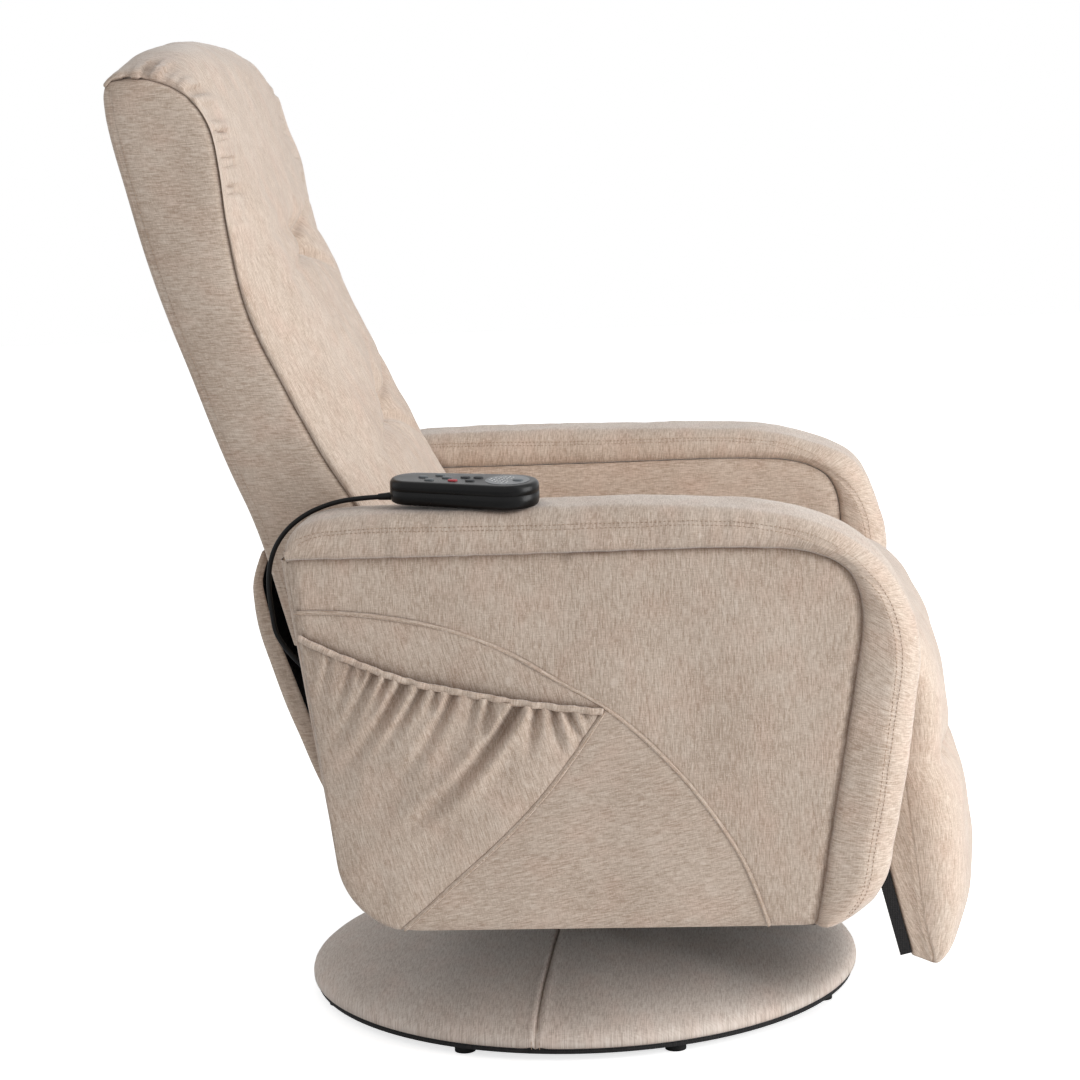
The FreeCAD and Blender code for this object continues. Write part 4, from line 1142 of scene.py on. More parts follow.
ARC = ((-243, 489), (-232, 489.3), (-188, 487), (-140, 480), (-91, 468), (-44, 449), (13, 415),
       (57, 388), (108, 342), (155, 284), (187, 230), (206, 178), (209, 168))
HEM = ((-240.5, 464.4), (-195, 443), (-142, 422), (-84, 407.5), (-26, 396), (54, 385))
POUCH_SEAM = ((54, 385), (25, 343), (-10, 299), (-51, 257), (-102, 212), (-134, 183), (-150, 170))


@dataclass
class SideDetail:
    """The curved seam on an arm's outer face, and on the right the gathered pouch below it."""

    side: int
    name: str
    pouch: bool
    face: float = ARM_FACE
    rows: StitchRows = field(init=False)

    def __post_init__(self) -> None:
        """Starts the stitching."""
        self.rows = StitchRows(f"{self.name}_side_stitches", "chair_body", 4.2, 3.0, 0.6)

    def on_face(self, line: Array, lift: float = 0.0) -> Array:
        """Puts (x, z) points on the arm's outer face."""
        return with_y(line, self.side * (self.face + lift))

    def quarter(self) -> None:
        """The lower panel inside the curved seam, whose yarns run another way."""
        arc, hem = smooth_line(ARC, 120), smooth_line(HEM, 60)
        corner = [(x + 1.2, z + 1.2) for x, z in lower_corner(14)]
        below = arc[arc[:, 0] > 50]
        lens = np.vstack([arc[arc[:, 0] < 56], hem[::-1] - (0, 4)])
        seam = smooth_line(POUCH_SEAM, 40)
        if self.pouch:
            foot = [p for p in corner if p[0] > -150]
            outline = np.vstack([below, [(208, 167.3)], foot, seam[::-1][:-1] + (-5, 1)])
        else:
            outline = np.vstack([below, [(208, 167.3)], corner, [(-238, 440)], hem - (0, 4)])
        bottom = [(210, ARM_BOTTOM), (120, ARM_BOTTOM)]
        edge = np.array(bottom + lower_corner(14) + ARM_BACK_EDGE)

        def depth(flat: Array) -> Array:
            """Y just proud of the face behind."""
            turned = distance_to_line(flat, edge)
            curl = np.clip(1 - turned / 7.0, 0, 1)
            drop = 7.0 * (1 - np.sqrt(np.clip(1 - curl**2, 0, 1)))
            wave = 1.1 * ripple(flat[:, 0], flat[:, 1], 150, 21 + self.side)
            wave *= 1 - np.exp(-turned / 30)
            sunk = 0.8 * np.exp(-distance_to_line(flat, arc) / 3)
            return self.side * (self.face + 1.0 - drop + wave - sunk)
        for name, line, grain in (("quarter_panel", outline, Grain.TILTED),
                                  ("lens_panel", lens, Grain.LEANING)):
            panel = filled_panel(f"{self.name}_{name}", line, 6.0, depth, self.side)
            ride(panel, "chair_body", "oatmeal_fabric", FINISH.cloth(grain))

    def curved_seam(self) -> None:
        """The raised felled seam and its sewn line."""
        out = np.array([0.0, float(self.side), 0.0])
        line = self.on_face(smooth_line(ARC, 150), 0.4)
        strip = welt(f"{self.name}_curved_welt", line, out, 4.6, 1.3)
        mark_seams(strip, [beside(line, out, self.side * 1.9)])
        ride(strip, "chair_body", "oatmeal_fabric", FINISH.cloth(Grain.ACROSS))
        self.rows.lines.append(beside(line, out, -self.side * 0.9) + out * 1.25)

    def pouch_folds(self, flat: Array) -> Array:
        """How far the gathers stand out or sink in at each (x, z)."""
        hem = smooth_line(HEM, 200)
        folds = (  # place along the hem, sideways lean, length, width, depth
            (0.06, -0.20, 34, 4.0, 1.4), (0.12, -0.25, 55, 4.5, 2.2), (0.195, -0.30, 62, 4.5, 2.6),
            (0.235, -0.42, 50, 4.0, 2.2), (0.27, -0.50, 95, 6.0, 4.2), (0.315, -0.52, 60, 4.5, 2.8),
            (0.37, -0.56, 120, 6.5, 4.8), (0.43, -0.60, 98, 5.5, 4.2), (0.475, -0.30, 34, 4.0, 2.4),
            (0.53, -0.50, 115, 6.5, 4.2), (0.60, -0.28, 46, 4.5, 2.4), (0.645, -0.20, 60, 5.5, 3.0),
            (0.735, -0.62, 185, 7.5, 7.6), (0.79, -0.16, 58, 5.5, 4.0), (0.845, 0.06, 48, 5.0, 3.8),
            (0.885, 0.34, 52, 5.5, 4.2), (0.94, 0.10, 24, 4.0, 2.6))
        height = np.zeros(len(flat))
        for place, lean, length, width, depth in folds:
            start = hem[int(place * 199)]
            direction = np.array([lean, -1.0]) / math.hypot(lean, 1.0)
            normal = np.array([-direction[1], direction[0]])
            along = (flat - start) @ direction
            across = (flat - start) @ normal - 0.0012 * np.clip(along, 0, None) ** 2 * np.sign(lean)
            fade = np.clip(1 - np.abs(along) / length, 0, 1) ** 0.9 * np.clip(1 + along / 6, 0, 1)
            spread = width * (1 + np.clip(along, 0, None) / length * 0.9)
            height -= 1.5 * depth * fade * np.exp(-(across / (0.5 * spread)) ** 2)
            flank = (np.abs(across) - 1.2 * spread) / (0.7 * spread)
            height += 0.8 * depth * fade * np.exp(-flank**2)
        return height

    def build_pouch(self) -> None:
        """The gathered pouch, its elastic hem and the welt down its front."""
        seam, hem = smooth_line(POUCH_SEAM, 60), smooth_line(HEM, 80)
        corner = [p for p in lower_corner(14) if p[0] < -152]
        outline = np.vstack([hem, seam[1:], corner])
        border = np.vstack([seam, corner, [(-250.5, 540)]])

        def depth(flat: Array) -> Array:
            """Y of the loose cloth."""
            edge, top = distance_to_line(flat, border), distance_to_line(flat, hem)
            fullest = 0.5 + 0.5 * np.exp(-((top - 75) / 50) ** 2)
            puff = 1.2 + 12.5 * (1 - np.exp(-edge / 32)) * fullest
            puff += self.pouch_folds(flat) * np.clip(edge / 10, 0, 1)
            puff += 1.3 * ripple(flat[:, 0], flat[:, 1], 60, 77) * np.clip(edge / 40, 0, 1)
            rolled = 5.0 * (1 - np.sqrt(np.clip(1 - np.clip(1 - edge / 5.0, 0, 1) ** 2, 0, 1)))
            return self.side * (self.face + np.clip(puff - rolled * 0.7, 0.6, 17.5) + 0.6)
        cloth = filled_panel(f"{self.name}_pouch_cloth", outline, 3.6, depth, self.side)
        thick = cloth.modifiers.new("thickness", "SOLIDIFY")
        thick.thickness, thick.offset = 0.0016, -1.0
        applied(cloth)
        ride(cloth, "chair_body", "oatmeal_fabric", FINISH.cloth(Grain.LEANING), "side_pocket")

        out = np.array([0.0, float(self.side), 0.0])
        line = smooth_line(HEM, 170)
        lift = 5.5 + 3.2 * np.sin(np.linspace(0, math.pi, 170)) ** 0.6
        lift += 0.9 * ripple(run_length(line), 0 * line[:, 0], 16, 4)
        path = np.column_stack([line[:, 0], self.side * (self.face + lift), line[:, 1] + 1.0])
        path[:, 2] += 0.5 * ripple(run_length(line), 0 * line[:, 0], 14, 9)
        tube = welt(f"{self.name}_pouch_hem", path, out, 7.0, 3.0)
        ride(tube, "chair_body", "oatmeal_fabric", FINISH.cloth(Grain.UP))
        self.rows.lines.append(path + out * 2.4 + np.array([0, 0, -2.0]))

        line = self.on_face(smooth_line(POUCH_SEAM, 120), 1.2)
        strip = welt(f"{self.name}_pouch_welt", line, out, 5.2, 1.9)
        mark_seams(strip, [beside(line, out, -self.side * 2.1)])
        ride(strip, "chair_body", "oatmeal_fabric", FINISH.cloth(Grain.ACROSS))
        self.rows.lines.append(beside(line, out, self.side * 1.2) + out * 1.8)

    def build(self) -> None:
        """All that is sewn on one side."""
        self.quarter()
        self.curved_seam()
        if self.pouch:
            self.build_pouch()
        self.rows.build()


# ---------------------------------------------------------------- backrest

SIDE_SEAM = ((-431, 999), (-422, 1007.5), (-409, 1010.5), (-391, 1008), (-371, 1002.5), (-355, 995),
             (-343, 985), (-332, 970), (-325, 955), (-321, 938), (-319, 921), (-317, 898),
             (-315.5, 873), (-312, 845), (-306, 806), (-299, 776), (-286, 741), (-267, 701),
             (-248, 662), (-226, 620), (-203, 583), (-165, 513), (-128, 440))
REAR_EDGE = ((-269, 430), (-284, 485), (-299, 540), (-309.5, 572), (-320, 599), (-339, 650),
             (-358, 702), (-376, 753), (-392, 804), (-406, 854), (-418, 904), (-426, 941),
             (-431, 975), (-432.5, 995), (-432, 1008))
CROWN = ((-436, 1004), (-431, 1026), (-420, 1040), (-402, 1047.5), (-385, 1049), (-368, 1046.5),
         (-356, 1038), (-347, 1022), (-340, 1003), (-331, 980), (-323, 955), (-314, 925),
         (-304, 897), (-292, 872), (-284, 848), (-278, 839), (-268, 821), (-259, 796), (-248, 767),
         (-236.5, 741.5), (-223.5, 714.5), (-211, 689.5), (-199.5, 667.5), (-194, 654), (-185, 635),
         (-176, 612), (-162.5, 582), (-145, 548), (-122, 511), (-112, 478), (-109, 455),
         (-114, 438))
TUFTS = ((-274, 834), (-193, 649))       # x, z of each tuft
TUFT_CREASES = (            # side of the tuft, slope, depth and reach of each crease
    (1, 0.24, 10.0, 110), (1, -0.36, 10.0, 70), (-1, -0.17, 9.0, 120), (-1, 0.30, 6.0, 45),
    (1, -0.04, 5.0, 40))


@dataclass
class Backrest:
    """The reclining back: a lobed, tufted cushion on an upholstered shell."""

    half: float = 258.0
    tuft_y: float = 22.0

    def cushion_grid(self) -> tuple[Array, Array]:
        """Points of the cushion's front, and of its sewn-down back.

        Returns:
            The grid of loops, and how firmly each point is held.
        """
        pairs = 26
        seam, crown = smooth_line(SIDE_SEAM, 1200), smooth_line(CROWN, 1200)
        ends = self.matched(seam, crown, 132)
        loops, held = [], []
        for low, high in ends:
            height = float(np.linalg.norm(high - low))
            y, up = self.section(height)
            depth = up / height
            x = low[0] + (high[0] - low[0]) * depth
            z = low[1] + (high[1] - low[1]) * depth
            front = np.column_stack([x, y, z])
            back = np.linspace(1, -1, pairs)[1:-1]
            rear = np.column_stack([np.full(len(back), low[0] - 0.5), back * (self.half - 2),
                                    np.full(len(back), low[1] - 0.5)])
            loops.append(np.vstack([front, rear]))
            firm = np.concatenate([(up < 12).astype(float), np.ones(len(back))])
            held.append(firm)
        return np.array(loops), np.array(held)

    def section(self, height: float) -> tuple[Array, Array]:
        """The cushion's section across, as y and height above the seam.

        Args:
            height: Seam to crown, at the middle.

        Returns:
            Evenly spaced y values and heights, from the sitter's right to the left.
        """
        drop = np.array([0, 2, 7, 15, 27, 41, 55, 65, 73]) * min(1.0, (height - 3) / 76)
        half = [(y, height - d) for y, d in zip((0, 70, 115, 150, 185, 215, 238, 252, 259), drop)]
        low = half[-1][1]
        half += [(260.2, low * 0.62), (259.6, low * 0.3), (257.6, low * 0.08),
                 (255.0, 0.0), (254.0, -2.0)]
        line = smooth_line(half[::-1], 44)
        line = np.vstack([line, (line * (-1, 1))[::-1][1:]])
        return -line[:, 0], line[:, 1]

    @staticmethod
    def slumped(co: Array) -> Array:
        """Lets the upper corner on the sitter's left sink back a little, as stuffed cloth does."""
        co = co.copy()
        fall = 9 * np.exp(-((co[:, 2] - 955) / 30) ** 2) * np.clip((co[:, 1] - 80) / 140, 0, 1)
        co[:, 0] -= fall * np.clip((co[:, 0] + 400) / 40, 0, 1)
        return co

    @staticmethod
    def matched(seam: Array, crown: Array, count: int) -> list[tuple[Array, Array]]:
        """Pairs points of the side seam with points of the crown line."""
        knots = np.array([(0, 0), (0.055, 0.07), (0.115, 0.135), (0.16, 0.18), (0.21, 0.225),
                          (0.36, 0.37), (0.60, 0.60), (0.80, 0.80), (1, 1)])
        t = np.linspace(0, 1, count)
        other = np.interp(t, knots[:, 1], knots[:, 0])
        s, c = run_length(seam) / run_length(seam)[-1], run_length(crown) / run_length(crown)[-1]
        low = np.stack([np.interp(other, s, seam[:, k]) for k in (0, 1)], axis=1)
        high = np.stack([np.interp(t, c, crown[:, k]) for k in (0, 1)], axis=1)
        return list(zip(low, high))

    @staticmethod
    def rise_from(co: Array, x: float, z: float) -> Array:
        """How far each point lies up the cushion's face from a tuft."""
        return (co[:, 2] - z) * 0.95 + (co[:, 0] - x) * 0.30

    def drawn_in(self, co: Array) -> Array:
        """How far the tufts and the creases that fan from them draw each point in."""
        depth = np.zeros(len(co))
        off = co[:, 1] - self.tuft_y
        aside = np.abs(off)
        for x, z in TUFTS:
            rise = self.rise_from(co, x, z)
            d = np.hypot(rise, off)
            ahead = np.clip((co[:, 0] - x + 60) / 40, 0, 1)
            depth += 5.0 * np.exp(-(rise / 26) ** 2) * np.exp(-(off / 150) ** 2) * ahead
            depth += (12.0 * np.exp(-(d / 9) ** 2) + 14.0 * np.exp(-(d / 28) ** 2)) * ahead
            spokes = np.cos(5 * np.arctan2(rise, off) + z)
            depth -= 1.8 * spokes * np.exp(-d / 22) * np.clip(d / 8, 0, 1) * ahead
            for side, slope, deep, reach in TUFT_CREASES:
                line = rise - slope * aside
                fan = np.exp(-(line / 5.0) ** 2) + 0.5 * np.exp(-(line / 14) ** 2)
                fan *= np.clip(side * off / 5, 0, 1) * np.exp(-(aside / reach) ** 2)
                depth += deep * fan * ahead
        return depth

    def gathers(self, co: Array, seam: Array) -> Array:
        """Height of the gathers along the upper part of the side seams."""
        flat = co[:, [0, 2]]
        inward = np.clip(self.half - 8 - np.abs(co[:, 1]), 0, None)
        near = distance_to_line(flat, seam[20:170]) + inward * 0.35
        gaps = ((flat[:, None, :] - seam[None, ::4, :]) ** 2).sum(axis=2)
        place = seam[np.argmin(gaps, axis=1) * 4]
        along = (place - seam[0]) @ np.array([0.62, -0.78])
        wave = np.sin(along / 13.0 * math.tau + 1.6 * np.sin(along / 23.0))
        height = 3.0 * wave * np.exp(-((near - 14) / 15) ** 2)
        height *= np.clip((place[:, 1] - 850) / 40, 0, 1) * np.clip(near / 5, 0, 1)
        return height * np.where(co[:, 1] > 0, 0.4, 1)

    def sew(self, co: Array, n: Array) -> Array:
        """Draws the stuffed cushion in at its tufts and gathers it at its seams.

        Args:
            co: The cushion's points.
            n: Their normals.

        Returns:
            The points, moved.
        """
        co = co - np.array([0.93, 0.0, 0.36]) * self.drawn_in(co)[:, None]
        seam = smooth_line(SIDE_SEAM, 300)
        soft = 1.4 * ripple(co[:, 1], co[:, 2], 95, 51) + 0.5 * ripple(co[:, 1], co[:, 2], 34, 52)
        loose = np.clip(distance_to_line(co[:, [0, 2]], seam) / 25, 0, 1)
        return self.slumped(co + n * (self.gathers(co, seam) + soft * loose)[:, None])

    def build_cushion(self) -> None:
        """The front cushion."""
        grid, held = self.cushion_grid()
        cushion = skin("back_cushion_cover", grid, wrap=True, caps=True)
        firm = np.concatenate([held.ravel(), [1.0, 1.0]])
        co = coordinates(cushion)
        for x, z in TUFTS:
            apart = np.hypot(self.rise_from(co, x, z), co[:, 1] - self.tuft_y)
            firm[(apart < 9) & (co[:, 0] > x - 40)] = 1.0
        inflate(cushion, firm, 2.2, 4.0)
        subdivided(cushion, 1)
        outward(cushion)
        set_coordinates(cushion, self.sew(coordinates(cushion), normals(cushion)))
        ride(cushion, "backrest", "oatmeal_fabric", FINISH.cloth(Grain.ACROSS), "back_cushion")

    def shell_loop(self, z: float, front: float, rear: float, top: float) -> Array:
        """One level of the shell, from the near seam round the rear to the far seam.

        Args:
            z: The level.
            front: X of the side seam there.
            rear: X of the rear face there.
            top: From 0 to 1, how far the level has turned over the upper edge.

        Returns:
            The level's points.
        """
        corner = 9.0
        rear = rear + 7.0 * (1 - math.sqrt(1 - 0.96 * top**2))
        xs = np.linspace(front, rear + corner, 12)
        bulge = 2.2 * np.sin(math.pi * np.linspace(0, 1, 12)) ** 0.8
        bulge[0], bulge[1] = -1.6, 0.6
        tuck = [(front - 4.5, -(self.half - 9.0)), (front - 1.5, -(self.half - 4.0))]
        near = tuck + [(x, -(self.half + b)) for x, b in zip(xs, bulge)]
        turn = [(rear + corner * (1 - math.sin(a)), -(self.half - corner * (1 - math.cos(a))))
                for a in np.linspace(0, math.pi / 2, 6)[1:]]
        flat = [(rear - 2.0 * (1 - (y / self.half) ** 2), y)
                for y in np.linspace(-self.half + 14, self.half - 14, 24)]
        half = near + turn
        loop = np.array(half + flat + [(x, -y) for x, y in reversed(half)])
        return np.column_stack([loop, np.full(len(loop), z)])

    def build_shell(self) -> None:
        """The back's sides, rear face and the seams just inside its rear edges."""
        seam, edge = smooth_line(SIDE_SEAM, 400), smooth_line(REAR_EDGE, 300)
        levels = np.concatenate([np.linspace(431, 960, 56), np.linspace(968, 1006, 14)])
        loops = []
        for z in levels:
            front = seam[np.argmin(np.where(seam[:, 0] > -409, np.abs(seam[:, 1] - z), 1e9))][0]
            rear = float(np.interp(z, edge[:, 1], edge[:, 0]))
            loops.append(self.shell_loop(z, front, rear, float(np.clip((z - 988) / 18, 0, 1))))
        top = loops[-1].copy()
        middle = (top[:, 0].max() + top[:, 0].min()) / 2
        for rise, shrink in ((1.5, 0.86), (2.6, 0.6), (3.0, 0.2)):
            lid = top.copy()
            lid[:, 0] = middle + (top[:, 0] - middle) * shrink
            lid[:, 1] = top[:, 1] * 0.985
            lid[:, 2] += rise
            loops.append(lid)
        shell = skin("back_shell_cover", np.array(loops))
        if sum(p.normal.y * p.area * np.sign(p.center.y) for p in shell.data.polygons) < 0:
            shell.data.flip_normals()
        lines, rows = [], StitchRows("back_stitches", "backrest", 4.4, 3.2, 0.5)
        tree = surface(shell)
        for side in (-1, 1):
            z = np.linspace(440, 998, 150)
            rear = np.interp(z, edge[:, 1], edge[:, 0]) + 7.5
            line = on_surface(tree, np.column_stack([rear, np.full(150, side * self.half), z]))
            lines.append(line)
            rows.lines.append(line + np.array([3.5, side * 0.2, 0]))
        for y in (-self.half, self.half):
            lines.append(with_y(seam, y)[::4])
        mark_seams(shell, lines[:2])
        co, n = coordinates(shell), normals(shell)
        distance = np.minimum(distance_to_line(co, lines[0]), distance_to_line(co, lines[1]))
        co -= n * (1.3 * np.exp(-(distance / 2.6) ** 2))[:, None]
        front = np.minimum(distance_to_line(co, lines[2]), distance_to_line(co, lines[3]))
        calm = np.clip(front / 30, 0, 1)
        co += n * (0.9 * ripple(co[:, 0] + co[:, 1], co[:, 2], 120, 61) * calm)[:, None]
        set_coordinates(shell, self.slumped(co))
        ride(shell, "backrest", "oatmeal_fabric", FINISH.cloth(Grain.UP), "back_body")
        rows.build()

    def build(self) -> None:
        """The whole back."""
        self.build_cushion()
        self.build_shell()


@dataclass
class Skirt:
    """The cloth flap between the back and the body's rear rail, black on its inner face."""

    half: float = 243.0
    turned: float = 19.0
    profile: tuple[tuple[float, float], ...] = (
        (-299, 527), (-304, 515), (-310, 490), (-309, 476), (-306, 453), (-301, 428), (-294, 402),
        (-286, 377), (-277, 351), (-267, 326), (-256, 300), (-244, 272), (-228, 242), (-211, 216))

    def build(self) -> None:
        """Makes the flap and gives it thickness."""
        line = smooth_line(self.profile, 44)
        swell = np.sin(np.linspace(0, math.pi, 44))
        wrap = [(self.half + 1.2 * math.sin(k), self.turned * k / 5) for k in range(1, 6)]
        across = [(-y, t) for y, t in reversed(wrap)]
        across += [(y, 0.0) for y in np.linspace(-self.half, self.half, 60)] + wrap
        points = np.empty((44, len(across), 3))
        for k, (y, forward) in enumerate(across):
            droop = 2.2 * ripple(line[:, 1], np.full(44, y), 110, 41) * swell
            droop += forward * np.maximum(swell, 0.3) ** 0.6
            points[:, k] = np.column_stack([line[:, 0] + droop, np.full(44, y), line[:, 1]])
        flap = skin("rear_skirt", points)
        if flap.data.polygons[len(flap.data.polygons) // 2].normal.x > 0:
            flap.data.flip_normals()
        flap.data.materials.append(FINISH.cloth(Grain.UP))
        flap.data.materials.append(FINISH.lining.material())
        thick = flap.modifiers.new("thickness", "SOLIDIFY")
        thick.thickness, thick.offset, thick.material_offset = 0.003, -1.0, 1
        applied(flap)
        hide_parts("back_skirt")
        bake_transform(flap)
        LOG.info("rear_skirt bends between chair_body and backrest")


# ---------------------------------------------------------------- seat and legrest

@dataclass
class SeatCushion:
    """The boxed seat cushion, crowned on top."""

    low: tuple[float, float, float] = (-94.0, -260.5, 373.0)
    high: tuple[float, float, float] = (235.0, 260.5, 459.0)
    crown_limit: float = 463.5
    side_limit: float = 262.5

    def build(self) -> None:
        """A stuffed box with soft edges."""
        centre = (np.array(self.low) + np.array(self.high)) / 2
        size = (np.array(self.high) - np.array(self.low)) / 2
        rows, cols = 60, 120
        loops = []
        for v in np.linspace(-math.pi / 2, math.pi / 2, rows):
            ring = []
            for u in np.linspace(0, math.tau, cols, endpoint=False):
                cv, sv = abs(math.cos(v)) ** 0.34, math.copysign(abs(math.sin(v)) ** 0.55, v)
                cu, su = math.cos(u), math.sin(u)
                ring.append((centre[0] + size[0] * cv * math.copysign(abs(cu) ** 0.22, cu),
                             centre[1] + size[1] * cv * math.copysign(abs(su) ** 0.22, su),
                             centre[2] + size[2] * sv))
            loops.append(ring)
        grid = np.array(loops)
        flat = np.concatenate([grid, grid[:, :1]], axis=1)[:, :, :2]
        cushion = skin("seat_cushion_cover", grid, wrap=True, caps=True, uv=flat)
        co = coordinates(cushion)
        firm = ((co[:, 2] < centre[2] - 10) | (np.abs(co[:, 1]) > 252)).astype(float)
        inflate(cushion, firm, 2.0, 4.0)
        subdivided(cushion, 1)
        outward(cushion)
        co, n = coordinates(cushion), normals(cushion)
        top = np.clip((co[:, 2] - centre[2]) / 30, 0, 1)
        inset = np.minimum(size[0] - np.abs(co[:, 0] - centre[0]), size[1] - np.abs(co[:, 1]))
        inset = np.clip(inset / 60, 0, 1)
        co += n * (1.0 * ripple(co[:, 0], co[:, 1], 85, 71) * top * inset)[:, None]
        co[:, 2] += 3.0 * top * inset
        co[:, 2] = np.minimum(co[:, 2], self.crown_limit)
        co[:, 1] = np.clip(co[:, 1], -self.side_limit, self.side_limit)
        set_coordinates(cushion, co)
        ride(cushion, "chair_body", "oatmeal_fabric", FINISH.cloth(Grain.ACROSS), "seat_cushion")


LEG_STATIONS = (        # board x, z; side seam x, z; crown x, z
    (272, 352, 254, 362, 243.5, 368), (278, 362, 251, 386, 240, 393), (285, 370, 259, 416, 248, 425),
    (295, 374, 281, 438, 271, 449), (305, 376, 308, 447, 305, 457.5), (312, 372, 332, 442, 338, 454),
    (316, 366, 348, 425, 365, 441), (317, 355, 353, 402, 383, 414), (314, 343, 353, 372, 395, 378),
    (309, 325, 351, 340, 402, 342), (305, 308, 349, 314, 406, 310), (303, 296, 348, 294, 404.5, 290),
    (307, 276, 350, 270, 415, 268), (316, 245, 353, 240, 422, 240), (326, 205, 357.5, 202, 427, 204),
    (335.5, 165, 362, 164, 428, 168), (344, 130, 366, 130, 424, 134), (350, 108, 371.5, 107, 414, 107),
    (352.5, 96, 376, 90, 402, 87), (353.5, 90, 375, 80.5, 385, 77))


@dataclass
class LegRest:
    """The legrest pad: a knee roll and a lower lobe, with a gusset at each side."""

    half: float = 249.6
    side_limit: float = 250.4
    fold_level: float = 291.0

    def build(self) -> None:
        """Makes the pad and marks its seams."""
        stations = smooth_line(LEG_STATIONS, 96)
        phi = np.linspace(-1, 1, 78)
        across = np.sign(phi) * np.abs(np.sin(phi * math.pi / 2)) ** 0.60
        lift = np.clip(np.cos(phi * math.pi / 2), 0, 1) ** 0.52
        loops, held = [], []
        for bx, bz, sx, sz, cx, cz in stations:
            depth = lift * (1 - 0.07 * np.abs(across) ** 2)
            x, z = sx + (cx - sx) * depth, sz + (cz - sz) * depth
            front = np.column_stack([x, across * self.half, z])
            gusset = [(sx + (bx - sx) * t, self.half - 1.2 * math.sin(math.pi * t), sz + (bz - sz) * t)
                      for t in np.linspace(0, 1, 7)[1:-1]]
            rear = [(bx, y, bz) for y in np.linspace(self.half - 1, -self.half + 1, 16)]
            other = [(gx, -gy, gz) for gx, gy, gz in reversed(gusset)]
            loops.append(np.vstack([front, gusset, rear, other]))
            held.append(np.concatenate([(lift < 0.16).astype(float), np.ones(len(gusset) * 2 + 16)]))
        pad = skin("legrest_pad_cover", np.array(loops), wrap=True, caps=True)
        co = coordinates(pad)
        firm = np.concatenate([np.array(held).ravel(), [1.0, 1.0]])
        at_fold = (np.abs(co[:, 2] - self.fold_level) < 4) & (co[:, 0] > 385)
        firm[at_fold & (np.abs(co[:, 1]) < 200)] = 1.0
        inflate(pad, firm, 2.0, 3.0)
        subdivided(pad, 1)
        outward(pad)
        co, n = coordinates(pad), normals(pad)
        ahead = np.clip((co[:, 0] - 350) / 25, 0, 1)
        rise = co[:, 2] - self.fold_level + 0.05 * (co[:, 0] - 400)
        crease = np.clip((216 - np.abs(co[:, 1])) / 30, 0, 1)
        push = -(3.2 * np.exp(-(rise / 4) ** 2) + 4.0 * np.exp(-(rise / 17) ** 2)) * ahead * crease
        push += 1.1 * ripple(co[:, 1], co[:, 2], 80, 91) * ahead
        wave = np.sin(co[:, 1] / 21 * math.tau / 2)
        push += 0.9 * wave * np.exp(-np.abs(rise) / 18) * ahead * crease
        co += n * push[:, None]
        co[:, 1] = np.clip(co[:, 1], -self.side_limit, self.side_limit)
        set_coordinates(pad, co)
        mark_seams(pad, [with_y(stations[:, 2:4], y) for y in (-self.half, self.half)])
        ride(pad, "legrest", "oatmeal_fabric", FINISH.cloth(Grain.ACROSS), "legrest_pad")


# ---------------------------------------------------------------- handset and cord

CORD_ROUTE = (          # the lead's route, in metres, from the handset's relief to the gland
    (-0.1653, -0.3192, 0.5913), (-0.190, -0.3135, 0.5895), (-0.214, -0.309, 0.585),
    (-0.240, -0.3055, 0.575), (-0.262, -0.3045, 0.559), (-0.277, -0.3045, 0.537),
    (-0.2825, -0.307, 0.510), (-0.280, -0.310, 0.478), (-0.2755, -0.312, 0.446),
    (-0.2515, -0.311, 0.421))


